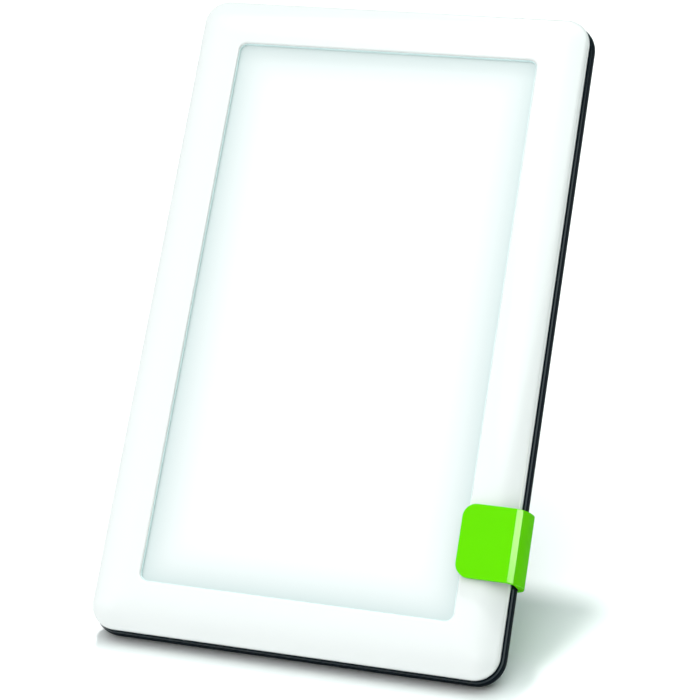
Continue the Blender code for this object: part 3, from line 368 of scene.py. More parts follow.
def turned(profile, centre, axis="y", sides=ROUND_SIDES):
    """Lathe rings: each (radius, place) of a profile carried round an axis through a centre."""
    radius, place = np.array(profile, float).T
    angle = np.linspace(0.0, 2 * math.pi, sides, endpoint=False)
    first = centre[0] + radius[:, None] * np.cos(angle)
    second = centre[1] + radius[:, None] * np.sin(angle)
    along = np.broadcast_to(place[:, None], first.shape)
    return np.stack((first, along, second) if axis == "y" else (first, second, along), axis=-1)


def skin(rings, closed=False, start=0):
    """Corner points and faces of rings: a quad between neighbours, with the ends capped or joined."""
    count, size = rings.shape[:2]
    index = start + np.arange(count * size).reshape(count, size)
    after = np.roll(index, -1, axis=0) if closed else index[1:]
    before = index if closed else index[:-1]
    quads = np.stack((before, np.roll(before, -1, 1), np.roll(after, -1, 1), after), axis=-1).reshape(-1, 4)
    faces = quads.tolist()
    if not closed:
        faces += [index[0].tolist(), index[-1].tolist()]
    return rings.reshape(-1, 3), faces


def make_mesh(name, parts, standing=True):
    """Mesh of several (rings, closed) bodies, turned to face outwards and stood on the table."""
    points, faces, start = [], [], 0
    for rings, closed in parts:
        part_points, part_faces = skin(rings, closed, start)
        points.append(part_points)
        faces += part_faces
        start += len(part_points)
    points = np.concatenate(points)
    points = (lean(points) if standing else points) + LAMP_PLACE
    mesh = bpy.data.meshes.new(name)
    mesh.from_pydata(points.tolist(), [], faces)
    return tidy(mesh)


def tidy(mesh):
    """Merges doubles, turns the faces outwards and smooths all but sharp edges."""
    bm = bmesh.new()
    bm.from_mesh(mesh)
    bmesh.ops.remove_doubles(bm, verts=bm.verts, dist=1e-6)
    bmesh.ops.recalc_face_normals(bm, faces=bm.faces)
    bm.to_mesh(mesh)
    bm.free()
    mesh.shade_smooth()
    mesh.set_sharp_from_angle(angle=SMOOTH_ANGLE)
    return mesh


def place(name, mesh, material, body, slot, *nodes):
    """Links a finished piece, rides it on its body and hides the model's solids that it replaces."""
    obj = bpy.data.objects.new(name, mesh)
    bpy.context.scene.collection.objects.link(obj)
    mesh.materials.clear()
    mesh.materials.append(material)
    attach(obj, body)
    if nodes:
        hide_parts(*nodes)
    return obj


def soften(obj, width, segments=3, angle=math.radians(30.0)):
    """Rounds the edges that turn by more than an angle."""
    bevel = obj.modifiers.new("edges", "BEVEL")
    bevel.width = width
    bevel.segments = segments
    bevel.limit_method = "ANGLE"
    bevel.angle_limit = angle
    bevel.harden_normals = True
    return obj


def carve(mesh, steps):
    """Joins or cuts guide meshes one after the other, and gives the finished mesh."""
    body = bpy.data.objects.new("carved", mesh)
    bpy.context.scene.collection.objects.link(body)
    guides = []
    for number, (guide_mesh, operation) in enumerate(steps):
        guide = bpy.data.objects.new(f"guide_{number}", guide_mesh)
        bpy.context.scene.collection.objects.link(guide)
        modifier = body.modifiers.new(f"step_{number}", "BOOLEAN")
        modifier.operation = operation
        modifier.solver = "EXACT"
        modifier.object = guide
        guides.append(guide)
    bpy.context.view_layer.update()
    graph = bpy.context.evaluated_depsgraph_get()
    result = bpy.data.meshes.new_from_object(body.evaluated_get(graph))
    for obj in [body] + guides:
        old = obj.data
        bpy.data.objects.remove(obj)
        bpy.data.meshes.remove(old)
    return tidy(result)


def node(tree, kind, inputs=None, **settings):
    """Adds a shader node with its settings; each input is a value or another node's output."""
    made = tree.nodes.new(kind)
    for name, value in settings.items():
        setattr(made, name, value)
    for name, value in (inputs or {}).items():
        if isinstance(value, bpy.types.NodeSocket):
            tree.links.new(value, made.inputs[name])
        else:
            made.inputs[name].default_value = value
    return made


def maths(tree, operation, *inputs):
    """Result of a maths node on values or other nodes' outputs."""
    return node(tree, "ShaderNodeMath", dict(enumerate(inputs)), operation=operation).outputs[0]


def blend(tree, share, first, second):
    """Colour that runs from the first to the second as the share goes from 0 to 1."""
    mixed = node(tree, "ShaderNodeMix", {0: share, 6: (*first, 1.0), 7: (*second, 1.0)}, data_type="RGBA")
    return mixed.outputs[2]


def new_material(name, colour, roughness, **settings):
    """Empty material of a name with its Principled shader: returns the material, its tree and the shader."""
    material = bpy.data.materials.new(name)
    material.use_nodes = True
    tree = material.node_tree
    shader = tree.nodes["Principled BSDF"]
    shader.inputs["Base Color"].default_value = (*colour, 1.0)
    shader.inputs["Roughness"].default_value = roughness
    for key, value in settings.items():
        shader.inputs[key.replace("_", " ")].default_value = value
    return material, tree, shader


def lamp_coordinates(tree):
    """Object coordinates turned back into the lamp's own frame, in metres."""
    coordinates = node(tree, "ShaderNodeTexCoord")
    x, y, z = LAMP_PLACE
    return node(tree, "ShaderNodeMapping", {
        "Vector": coordinates.outputs["Object"],
        "Rotation": (LEAN, 0.0, 0.0),
        "Location": (-x, -(y * COS - z * SIN), -(y * SIN + z * COS)),
    }).outputs["Vector"]


def surface_detail(tree, shader, colour, roughness, grain, relief, fade=0.06, spread=0.06):
    """Grain of one real size: its noise darkens the colour a little, varies the gloss and lifts the skin."""
    vector = lamp_coordinates(tree)
    fine = node(tree, "ShaderNodeTexNoise", {"Vector": vector, "Scale": 1 / grain, "Detail": 3.0})
    broad = node(tree, "ShaderNodeTexNoise", {"Vector": vector, "Scale": 1 / (40 * grain), "Detail": 2.0})
    tone = blend(tree, broad.outputs["Fac"], colour, [channel * (1 - fade) for channel in colour])
    gloss = node(tree, "ShaderNodeMapRange", {
        "Value": fine.outputs["Fac"],
        "To Min": max(roughness - spread, 0.02),
        "To Max": roughness + spread,
    })
    bump = node(tree, "ShaderNodeBump", {"Height": fine.outputs["Fac"], "Distance": relief, "Strength": 0.6})
    tree.links.new(tone, shader.inputs["Base Color"])
    tree.links.new(gloss.outputs["Result"], shader.inputs["Roughness"])
    tree.links.new(bump.outputs["Normal"], shader.inputs["Normal"])
    return vector, gloss, bump


class LampSizes(PropertyGroup):
    """Sizes of the edges and gaps that the scene adds to the model's own."""

    clip_edge: FloatProperty(
        name="Clip edge", description="Rounding of the green clip's edges",
        default=0.0006, min=0.0001, max=0.0008, subtype="DISTANCE", unit="LENGTH")
    leg_edge: FloatProperty(
        name="Leg edge", description="Rounding of the folding leg's edges",
        default=0.0006, min=0.0001, max=0.0012, subtype="DISTANCE", unit="LENGTH")
    groove_edge: FloatProperty(
        name="Groove edge", description="Rounding of the white frame's edge at the groove",
        default=0.0003, min=0.0001, max=0.0005, subtype="DISTANCE", unit="LENGTH")
    rim_edge: FloatProperty(
        name="Rim edge", description="Rounding of the black housing's edge at the groove",
        default=0.0004, min=0.0001, max=0.0010, subtype="DISTANCE", unit="LENGTH")
    glow_fade: FloatProperty(
        name="Glow fade", description="Distance from the window's edge over which the glow comes up to full",
        default=0.0240, min=0.002, max=0.05, subtype="DISTANCE", unit="LENGTH")


class LampFinishes(PropertyGroup):
    """Colours and light that can be changed."""

    frame_colour: FloatVectorProperty(
        name="Frame", description="Glossy ABS of the front frame",
        default=linear("#C6C7C7"), min=0.0, max=1.0, subtype="COLOR")
    housing_colour: FloatVectorProperty(
        name="Housing", description="Satin ABS of the rear housing",
        default=linear("#0A1218"), min=0.0, max=1.0, subtype="COLOR")
    stand_colour: FloatVectorProperty(
        name="Stand", description="Lime green ABS of the clip and leg",
        default=(0.095, 0.495, 0.0), min=0.0, max=1.0, subtype="COLOR")
    glow_colour: FloatVectorProperty(
        name="Glow", description="Daylight white of the lit window",
        default=linear("#FFFFFF"), min=0.0, max=1.0, subtype="COLOR")
    glow_edge_colour: FloatVectorProperty(
        name="Glow edge", description="Cooler, weaker light along the window's edge",
        default=linear("#BACAC9"), min=0.0, max=1.0, subtype="COLOR")
    screw_sides: IntProperty(
        name="Screw sides", description="Smoothness of the screw heads",
        default=96, min=24, max=192)


def crown_depth(inset):
    """Depth of the frame's soft crown: level near the window, then falling as a square to the shoulder."""
    run = (SIDE_BEZEL - CROWN_FLAT - inset) / (SIDE_BEZEL - CROWN_FLAT - SHOULDER)
    return CROWN_FALL * np.maximum(run, 0.0) ** 2


def frame_rings(edge):
    """Front frame: lip, rounded window edge, crown, shoulder and side wall, then back round the inside.

    The crown runs into the shoulder with its own slope, through a cubic curve that ends upright.
    """
    lip = arc(SIDE_BEZEL - WINDOW_EDGE_ROUND, WINDOW_EDGE_ROUND, WINDOW_EDGE_ROUND, 0.0, -90.0, 8)
    inset = np.linspace(SIDE_BEZEL - WINDOW_EDGE_ROUND, SHOULDER, 32)[1:]
    crown = np.stack((inset, crown_depth(inset)), axis=-1)
    slope = 2 * CROWN_FALL / (SIDE_BEZEL - CROWN_FLAT - SHOULDER)
    shoulder = bezier(((SHOULDER, CROWN_FALL),
                       (SHOULDER - SHOULDER_PULL, CROWN_FALL + slope * SHOULDER_PULL),
                       (0.0, CROWN_FALL + SHOULDER - SHOULDER_PULL),
                       (0.0, CROWN_FALL + SHOULDER)), 14)[1:]
    rim = arc(edge, PARTING_DEPTH - edge, edge, 180.0, 90.0, 4)
    inner_shoulder = SHOULDER + FRAME_WALL
    inside = np.array(((FRAME_WALL, PARTING_DEPTH), (FRAME_WALL, CROWN_FALL + SHOULDER),
                       (inner_shoulder, crown_depth(inner_shoulder) + FRAME_WALL)))
    front = np.concatenate(([(SIDE_BEZEL, WINDOW_LIP)], lip, crown, shoulder, rim, inside))
    outer_rings = loops(frame_size(front[:, 0]), front[:, 1])
    rib_outer = PLATE_LAP + FIT + LOCATING_RIB
    rib_inner = PLATE_LAP + FIT
    back = np.array(((rib_outer, crown_depth(SIDE_BEZEL - rib_outer) + FRAME_WALL),
                     (rib_outer, PLATE_Y + PLATE_THICKNESS), (rib_inner, PLATE_Y + PLATE_THICKNESS),
                     (rib_inner, WINDOW_LIP)))
    return np.concatenate((outer_rings, loops(window_size(back[:, 0]), back[:, 1])))


def housing_rings(edge):
    """Rear shell from its inner floor up over the tongue, round the outside and onto the flat back."""
    rise = EDGE_CENTRE_Y - HOUSING_FRONT
    share = np.linspace(edge / rise, 1.0, 14)
    side = np.stack((REAR_BULGE * np.sin(share * math.pi / 2), HOUSING_FRONT + share * rise), axis=-1)
    rim = arc(side[0, 0] - edge, HOUSING_FRONT + edge, edge, -90.0, 0.0, 4)[:-1]
    corner = arc(REAR_BULGE - REAR_RADIUS, EDGE_CENTRE_Y, REAR_RADIUS, 0.0, 90.0, 20)[1:]
    inner = arc(REAR_BULGE - REAR_RADIUS, EDGE_CENTRE_Y, REAR_RADIUS - HOUSING_WALL, 90.0, 0.0, 10)
    tongue_end = PARTING_DEPTH - TONGUE_RISE
    tongue = np.array(((-TONGUE_INNER, HOUSING_FRONT + HOUSING_WALL), (-TONGUE_INNER, tongue_end),
                       (-TONGUE_OUTER, tongue_end), (-TONGUE_OUTER, HOUSING_FRONT)))
    flat = np.array(((REAR_BULGE - REAR_RADIUS - BACK_MARGIN, THICKNESS),))
    profile = np.concatenate((inner, tongue, rim, side, corner, flat))
    return loops(edge_size(profile[:, 0]), profile[:, 1])


def screw_places():
    """Centres of the six housing screws, in the corners and half way up the sides."""
    across = HALF_FRAME - SCREW_INSET
    heights = (SCREW_INSET, MIDDLE_Z, FRAME_HEIGHT - SCREW_INSET)
    return [(side * across, z) for z in heights for side in (-1, 1)]


def middle(name):
    """Middle of a model's solid in the lamp's frame."""
    low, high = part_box(name)
    return in_lamp((np.array(low) + np.array(high)) / 2)


def rod(x, z, radius, low, high):
    """Plain round guide along the lamp's depth."""
    return turned(((radius, low), (radius, high)), (x, z)), False


def button_outline(grow):
    """Long round-ended outline of the button, larger all round by grow."""
    half_height = BUTTON_HEIGHT / 2 + grow
    x, z = rounded(BUTTON_WIDTH / 2 + grow, half_height, ROUND_END * half_height)
    return np.stack((x[0] + middle("power_button")[0], z[0] + DRIVER_Z), axis=-1)


def foot_blocks(grow, low):
    """The two feet as rounded bars level with the table; grow makes their pockets."""
    back = lean(np.array((0.0, EDGE_CENTRE_Y, EDGE_CENTRE_Z)))[1]
    half_depth = (FOOT_FRONT + FOOT_BACK) / 2 + grow
    bars = []
    for side in (-1, 1):
        x, y = rounded(FOOT_LENGTH / 2 + grow, half_depth, FOOT_CORNER, 4)
        outline = np.stack((x[0] + side * FOOT_X, y[0] + back + (FOOT_BACK - FOOT_FRONT) / 2), axis=-1)
        bars.append((prism(outline, "z", low, TABLE + FOOT_PROUD + FOOT_SEAT + grow), False))
    return bars


def housing_mesh(edge):
    """Shell with its bosses joined on and its holes, recesses, vents and foot pockets cut out."""
    through = (FLOOR_Y - CUT, THICKNESS + CUT)
    post_front = FLOOR_Y - BOARD_POST_HEIGHT
    posts = [rod(x, z, RECESS_RADIUS + BOSS_WALL, SEAT_FRONT_Y, FLOOR_Y + SINK) for x, z in screw_places()]
    holes = [rod(x, z, SCREW_SHANK_RADIUS + FIT, SEAT_FRONT_Y - CUT, RECESS_FLOOR_Y + CUT)
             for x, z in screw_places()]
    for number in range(BOARD_SCREW_COUNT):
        x, _, z = middle(f"board_screw_{number + 1}")
        posts.append(rod(x, z, BOARD_POST_RADIUS, post_front, FLOOR_Y + SINK))
        holes.append(rod(x, z, BOARD_SCREW_SHANK_RADIUS + FIT, post_front - CUT, FLOOR_Y - SINK))
    recesses = [rod(x, z, RECESS_RADIUS, RECESS_FLOOR_Y, THICKNESS + CUT) for x, z in screw_places()]
    recesses.append(rod(middle("dc_socket")[0], DRIVER_Z, SOCKET_NOSE_RADIUS + FIT, *through))
    recesses.append((prism(button_outline(FIT), "y", *through), False))
    vents = []
    x, z = rounded(VENT_WIDTH / 2, VENT_LENGTH / 2, ROUND_END * VENT_WIDTH / 2, 6)
    for middle_z in (UPPER_VENT_Z, LOWER_VENT_Z):
        for index in range(VENT_COUNT):
            across = (index - (VENT_COUNT - 1) / 2) * VENT_PITCH
            outline = np.stack((x[0] + across, z[0] + middle_z), axis=-1)
            vents.append((prism(outline, "y", *through), False))
    return carve(make_mesh("rear_shell", [(housing_rings(edge), False)]), (
        (make_mesh("posts", posts), "UNION"),
        (make_mesh("holes", holes), "DIFFERENCE"),
        (make_mesh("recesses", recesses), "DIFFERENCE"),
        (make_mesh("vents", vents), "DIFFERENCE"),
        (make_mesh("pockets", foot_blocks(FIT, TABLE - CUT), standing=False), "DIFFERENCE")))


def clip_section(flap_left, arm_end):
    """Section across the lamp's edge: flap, chamfer, bowed side on an ellipse, rear arm, and back inside."""
    edge = HALF_FRAME + CLIP_REACH
    front = -FIT - CLIP_WALL
    side_x = edge + CLIP_SIDE_BOW - CLIP_SIDE_SWEEP
    turn = np.radians(np.linspace(CLIP_SIDE_START, 90.0, 31))
    side = np.stack((side_x + CLIP_SIDE_SWEEP * np.cos(turn),
                     CLIP_SIDE_DEPTH + (CLIP_BACK - CLIP_SIDE_DEPTH) * np.sin(turn)), axis=-1)
    inner = arc(HALF_FRAME + REAR_BULGE - REAR_RADIUS, EDGE_CENTRE_Y, REAR_RADIUS + FIT, 90.0, 0.0, 12)
    slot = HINGE_X + KNUCKLE_RADIUS + HINGE_RELIEF
    return np.concatenate((
        ((flap_left, -FIT), (flap_left, front), (edge - CLIP_CHAMFER_WIDTH, front),
         (edge, front + CLIP_CHAMFER_DEPTH)),
        side,
        ((slot, CLIP_BACK), (arm_end, CLIP_BACK), (arm_end, ARM_Y), (slot, ARM_Y)),
        inner,
        ((inner[-1, 0], CLIP_NOSE_RELIEF - FIT), (inner[-1, 0] - CLIP_NOSE_RELIEF, -FIT))))


def clip_rings():
    """The clip's section run up the edge. Near the ends the flap's left side follows a quarter circle, and
    between the knuckles the arm stops short for the leg."""
    left = WINDOW_WIDTH / 2 - CLIP_LAP
    turn = np.radians(np.linspace(0.0, 90.0, 11))
    rise = CLIP_CORNER * (1 - np.cos(turn))
    flap = left + CLIP_CORNER * (1 - np.sin(turn))
    near = HINGE_X + (PIN_RADIUS + KNUCKLE_RADIUS) / 2
    far = HINGE_X + KNUCKLE_RADIUS + HINGE_RELIEF
    stations = [(height, start, near) for height, start in zip(rise, flap)]
    stations += [(KNUCKLE_LENGTH, left, near), (KNUCKLE_LENGTH, left, far)]
    stations += [(CLIP_HEIGHT - height, start, end) for height, start, end in reversed(stations)]
    rings = []
    for height, start, end in stations:
        section = clip_section(start, end)
        rings.append(np.column_stack((section, np.full(len(section), CLIP_BOTTOM + height))))
    return np.array(rings)


def tube(low, high, edge):
    """Closed lathe profile of a hinge knuckle: outer wall, rounded rims and the bore for the pin."""
    bore = PIN_RADIUS + FIT
    profile = np.concatenate((
        arc(KNUCKLE_RADIUS - edge, low + edge, edge, -90.0, 0.0, 4),
        arc(KNUCKLE_RADIUS - edge, high - edge, edge, 0.0, 90.0, 4),
        ((bore, high), (bore, low))))
    return turned(profile, (HINGE_X, HINGE_Y), "z"), True


def leg_outline():
    """Side view of the leg: a neck at the hinge, shoulders, and a lower edge cut level with the table."""
    heel = (CLIP_BOTTOM * COS - TABLE - LEG_EDGE_HEIGHT) / SIN
    tip_z = (TABLE + LEG_EDGE_HEIGHT + LEG_TIP * SIN) / COS
    neck = HINGE_Y + (PIN_RADIUS + KNUCKLE_RADIUS) / 2
    shoulder = HINGE_Y + KNUCKLE_RADIUS + HINGE_RELIEF
    low, high = LEG_NECK_BOTTOM + SINK, LEG_NECK_TOP - SINK
    top = max(CLIP_TOP, tip_z + LEG_TIP_HEIGHT)
    return fillet((
        (neck, low, 0.0), (shoulder, low, 0.0), (shoulder, CLIP_BOTTOM, LEG_SHOULDER_CORNER),
        (heel, CLIP_BOTTOM, LEG_HEEL_CORNER), (LEG_TIP, tip_z, LEG_HEEL_CORNER),
        (LEG_TIP, top, LEG_TIP_CORNER), (shoulder, top, LEG_SHOULDER_CORNER), (shoulder, high, 0.0),
        (neck, high, 0.0)))


def screw_rings(x, z, seat, sides):
    """Pan head on a plain shank. Its top is a dome less a cross, a step of the smaller of |x| and |z|."""
    tip = seat - SCREW_LENGTH
    below = np.array(((SCREW_TIP * SCREW_SHANK_RADIUS, tip), (SCREW_SHANK_RADIUS, tip + SCREW_SHANK_RADIUS),
                      (SCREW_SHANK_RADIUS, seat), (SCREW_HEAD_RADIUS, seat),
                      (SCREW_HEAD_RADIUS, seat + SCREW_RIM * SCREW_HEAD_HEIGHT)))
    share = np.linspace(0.96, 0.04, 26)
    radius = np.concatenate((below[:, 0], SCREW_HEAD_RADIUS * share))
    dome = seat + SCREW_HEAD_HEIGHT * (SCREW_RIM + (1 - SCREW_RIM) * np.sqrt(1 - share ** 2))
    angle = np.linspace(0.0, 2 * math.pi, sides, endpoint=False)
    across, up = radius[:, None] * np.cos(angle), radius[:, None] * np.sin(angle)
    narrow = np.clip((SCREW_CROSS_WIDTH - np.minimum(abs(across), abs(up))) / SCREW_CROSS_SLOPE, 0.0, 1.0)
    inside = np.clip((SCREW_CROSS_REACH - np.hypot(across, up)) / (2 * SCREW_CROSS_SLOPE), 0.0, 1.0)
    depth = np.concatenate((below[:, 1], dome))[:, None] - SCREW_CROSS_DEPTH * narrow * inside
    depth[:len(below)] = below[:, 1, None]
    return np.stack((x + across, depth, z + up), axis=-1)


def button_rings():
    """Button: a flange inside the housing, a cap with a round edge, and a shallow dish in its top."""
    top = THICKNESS + BUTTON_PROUD
    back = FLOOR_Y - FIT
    edge = arc(-BUTTON_EDGE, top - BUTTON_EDGE, BUTTON_EDGE, 0.0, 90.0, 6)
    share = np.linspace(0.1, 1.0, 9)[1:]
    dish = np.stack((-BUTTON_EDGE - share * BUTTON_DISH_RUN,
                     top - BUTTON_DISH * np.sin(share * math.pi / 2)), axis=-1)
    flange = ((BUTTON_FLANGE, back - BUTTON_FLANGE_DEPTH), (BUTTON_FLANGE, back), (0.0, back))
    profile = np.concatenate((flange, edge, dish))
    return np.array([np.insert(button_outline(grow), 1, depth, axis=1) for grow, depth in profile])


def shade_lip_rings():
    """Thin lip inside the window's edge, from under the frame's rounded edge down to the opal plate; its grey-teal
    paints the shade there.
    """
    top, foot, root = WINDOW_EDGE_ROUND + SHADE_LIP_REACH, PLATE_Y - SHADE_LIP_REACH / 6, SHADE_LIP_WALL / 3
    profile = np.array(((root, top - root), (-SHADE_LIP_WALL + root, top - root), (-SHADE_LIP_WALL, top),
                        (-SHADE_LIP_WALL, foot), (root, foot)))
    return loops(window_size(profile[:, 0]), profile[:, 1])


def gloss_white(finishes):
    """ABS moulded in a polished tool: a mirror-like skin with a faint waviness a few millimetres long."""
    colour = finishes.frame_colour[:]
    material, tree, shader = new_material("glossy_white_abs", colour, 0.12, IOR=1.53)
    surface_detail(tree, shader, colour, 0.12, 0.004, 0.000004, fade=0.015, spread=0.03)
    return material


def opal_acrylic(finishes, fade):
    """Cast opal acrylic lit from behind: the glow falls off towards the edge, most of all in the corners.

    What the glow lacks is the square of the share of the fade still to go to the nearest side of the window.
    """
    material, tree, shader = new_material("cast_opal_acrylic", linear("#838989"), 0.3, IOR=1.49)
    position = node(tree, "ShaderNodeSeparateXYZ", {"Vector": lamp_coordinates(tree)})
    distances = []
    for axis, centre, half in (("X", 0.0, WINDOW_WIDTH / 2), ("Z", MIDDLE_Z, WINDOW_HEIGHT / 2)):
        size = maths(tree, "ABSOLUTE", maths(tree, "SUBTRACT", position.outputs[axis], centre))
        distances.append(maths(tree, "SUBTRACT", half, size))
    nearest = maths(tree, "SMOOTH_MIN", *distances, fade / 2)
    lack = node(tree, "ShaderNodeMapRange", {
        "Value": nearest, "From Max": fade, "To Min": 1.0, "To Max": 0.0})
    share = maths(tree, "POWER", lack.outputs["Result"], 2.0)
    glow = blend(tree, share, finishes.glow_colour, finishes.glow_edge_colour)
    tree.links.new(glow, shader.inputs["Emission Color"])
    shader.inputs["Emission Strength"].default_value = WINDOW_GLOW
    return material


def black_abs(finishes):
    """The housing's three finishes: satin sides, a polished front rim and a back with the pits of a textured
    tool. The real pits are 0.15 mm across; they are drawn at 0.4 mm so that they show."""
    colour = finishes.housing_colour[:]
    return [moulded(name, colour, roughness, 0.0004, relief, Specular_IOR_Level=gloss,
                    Specular_Tint=(0.6, 0.9, 1.0, 1.0))
            for name, roughness, relief, gloss in (("satin_black_abs", 0.35, 0.000002, 0.005),
                                                   ("polished_black_abs", 0.15, 0.000001, 0.22),
                                                   ("textured_black_abs", 0.5, 0.00003, 0.25))]


def moulded(name, colour, roughness, grain, relief, **settings):
    """Any other finish: its colour, gloss, grain size and relief."""
    material, tree, shader = new_material(name, colour, roughness, **settings)
    surface_detail(tree, shader, colour, roughness, grain, relief)
    return material


def solder_mask(name, mask, copper):
    """Printed circuit board: copper tracks in a grid of bricks, seen through the solder mask."""
    material, tree, shader = new_material(name, linear(mask), 0.35)
    vector, _, _ = surface_detail(tree, shader, linear(mask), 0.35, 0.001, 0.00001)
    turned_up = node(tree, "ShaderNodeMapping", {"Vector": vector, "Rotation": (math.pi / 2, 0.0, 0.0)})
    board = (*linear(mask), 1.0)
    tracks = node(tree, "ShaderNodeTexBrick", {
        "Vector": turned_up.outputs["Vector"], "Color1": board, "Color2": board,
        "Mortar": (*linear(copper), 1.0), "Scale": 1.0, "Mortar Size": TRACK_WIDTH / 2,
        "Brick Width": TRACK_LENGTH, "Row Height": TRACK_PITCH})
    tree.links.new(tracks.outputs["Color"], shader.inputs["Base Color"])
    return material


# Finishes of the small parts: slot, real material, colour, roughness, grain, relief, other settings
SMALL_FINISHES = (
    # Closed-cell foam: dull and dark, with cells that show
    ("black_foam", "closed_cell_foam", "#141414", 0.9, 0.0006, 0.00012, {}),
    # Foamed reflector sheet: chalk white and even
    ("white_reflector", "white_reflector_sheet", "#F2F4F2", 0.6, 0.0015, 0.00001, {}),
    # Mill-finished aluminium: bright, with a soft rolled grain
    ("aluminium_sheet", "rolled_aluminium", "#C9CCCE", 0.35, 0.0012, 0.00001, {"Metallic": 1.0}),
    # Shrunk sleeve of an electrolytic can: thin, dark and slightly glossy
    ("black_sleeve", "black_pvc_sleeve", "#0D0E12", 0.4, 0.0008, 0.00001, {}),
    # Insulated wire: saturated and waxy
    ("red_insulation", "red_pvc_insulation", "#A01412", 0.42, 0.0008, 0.00001, {}),
    # Pressed and fired ferrite: dark grey and gritty
    ("ferrite", "manganese_zinc_ferrite", "#2B2C2F", 0.7, 0.0005, 0.00004, {}),
    # Moulded epoxy: near black, with a fine matt bloom
    ("black_epoxy", "moulded_epoxy", "#111112", 0.5, 0.0004, 0.00002, {"Specular_IOR_Level": 0.4}),
    # Unfilled nylon: cream, slightly waxy
    ("natural_nylon", "unfilled_nylon", "#E4DDCB", 0.42, 0.0010, 0.00001, {"Subsurface_Weight": 0.05}),
    # Bright zinc on steel: silvery with a cool, slightly cloudy plate
    ("zinc_plated_steel", "bright_zinc_plate", "#B9BCC2", 0.3, 0.0006, 0.00001, {"Metallic": 1.0}),
    # Textured ABS: mid grey, with a dry touch
    ("grey_button_abs", "grey_textured_abs", "#747A7C", 0.45, 0.0004, 0.00002, {}),
    # Moulded rubber: black and dull, with a powdery grain
    ("black_rubber", "nitrile_rubber", "#121314", 0.85, 0.0005, 0.00004, {}),
    # Painted shade: a dull grey-teal lip, darker than the frame round it, drawn as the shadow line in the window's
    # step
    ("painted_shade_lip", "grey_lip_painted_shade", "#C6DADA", 0.6, 0.0008, 0.00001, {}),
)
SMALL = {slot: row for slot, *row in SMALL_FINISHES}


def small_finish(slot):
    """The finish of one small part, made once."""
    name, colour, roughness, grain, relief, settings = SMALL[slot]
    made = bpy.data.materials.get(name)
    return made or moulded(name, linear(colour), roughness, grain, relief, **settings)


def stand_green(finishes, name="satin_lime_abs", gloss=0.05):
    """Lime green ABS: strong colour under a thin satin skin, with a little light inside."""
    return bpy.data.materials.get(name) or moulded(
        name, finishes.stand_colour[:], 0.4, 0.0015, 0.000006, Specular_IOR_Level=0.0, Coat_Weight=gloss,
        Coat_Roughness=0.16, Subsurface_Weight=0.05, Subsurface_Scale=0.002)


class LAMP_OT_front_frame(Operator):
    """Makes the glossy white front frame and the grey-teal lip round its window, which paints the shade in the
    window's step
    """

    bl_idname = "lamp.front_frame"
    bl_label = "Front frame"

    def execute(self, context):
        sizes, finishes = context.scene.lamp_sizes, context.scene.lamp_finishes
        mesh = make_mesh("front_shell", [(frame_rings(sizes.groove_edge), True)])
        place("front_shell", mesh, gloss_white(finishes), "lamp", "white_gloss_abs", "front_frame")
        # The lip's grey-teal colour is painted shade: it draws the shadow line inside the window's edge
        shade_lip = make_mesh("painted_shade_lip", [(shade_lip_rings(), True)])
        place("painted_shade_lip", shade_lip, small_finish("painted_shade_lip"), "lamp", "black_foam")
        return {"FINISHED"}


class LAMP_OT_window(Operator):
    """Gives the opal window plate its glow"""

    bl_idname = "lamp.window"
    bl_label = "Lit window"

    def execute(self, context):
        material = opal_acrylic(context.scene.lamp_finishes, context.scene.lamp_sizes.glow_fade)
        for slot in frame["nodes"]["diffuser_plate"].material_slots:
            slot.material = material
        return {"FINISHED"}


class LAMP_OT_rear_housing(Operator):
    """Makes the black rear housing with its vents, recesses and openings"""

    bl_idname = "lamp.rear_housing"
    bl_label = "Rear housing"

    def execute(self, context):
        edge = context.scene.lamp_sizes.rim_edge
        mesh = housing_mesh(edge)
        satin, *others = black_abs(context.scene.lamp_finishes)
        place("rear_shell", mesh, satin, "lamp", "black_satin_abs", "rear_housing")
        for material in others:
            mesh.materials.append(material)
        for face in mesh.polygons:
            depth = in_lamp(face.center)[1]
            if depth > THICKNESS - FIT:
                face.material_index = 2
            elif GLOSS_START < depth < GLOSS_END:
                face.material_index = 1
        return {"FINISHED"}


class LAMP_OT_clip(Operator):
    """Makes the green clip with its two hinge knuckles"""

    bl_idname = "lamp.clip"
    bl_label = "Green clip"

    def execute(self, context):
        edge = context.scene.lamp_sizes.clip_edge
        green = stand_green(context.scene.lamp_finishes)
        mesh = make_mesh("clip_shell", [(clip_rings(), False)])
        shell = place("clip_shell", mesh, green, "stand_clip", "lime_green_abs", "stand_clip")
        mesh.materials.append(stand_green(context.scene.lamp_finishes, "polished_lime_bevel", 1.0))
        bevel = Vector(lean(np.array((CLIP_CHAMFER_DEPTH, -CLIP_CHAMFER_WIDTH, 0.0)))).normalized()
        for face in mesh.polygons:
            face.material_index = int(face.normal.dot(bevel) > 0.99)
        soften(shell, edge, angle=math.radians(20.0)).modifiers["edges"].material = 1
        knuckles = [tube(KNUCKLES_LOW, CLIP_BOTTOM + KNUCKLE_LENGTH, edge),
                    tube(CLIP_TOP - KNUCKLE_LENGTH, KNUCKLES_HIGH, edge)]
        place("clip_knuckles", make_mesh("clip_knuckles", knuckles), green, "stand_clip", "lime_green_abs")
        return {"FINISHED"}


class LAMP_OT_leg(Operator):
    """Makes the folding leg with its knuckle"""

    bl_idname = "lamp.leg"
    bl_label = "Folding leg"

    def execute(self, context):
        sizes = context.scene.lamp_sizes
        green = stand_green(context.scene.lamp_finishes)
        low, high = HINGE_X - LEG_THICKNESS / 2, HINGE_X + LEG_THICKNESS / 2
        fin = make_mesh("leg_fin", [(prism(leg_outline(), "x", low, high), False)])
        soften(place("leg_fin", fin, green, "stand_leg", "lime_green_abs", "stand_leg"), sizes.leg_edge)
        knuckle = make_mesh("leg_knuckle", [tube(LEG_NECK_BOTTOM, LEG_NECK_TOP, sizes.clip_edge)])
        place("leg_knuckle", knuckle, green, "stand_leg", "lime_green_abs")
        return {"FINISHED"}


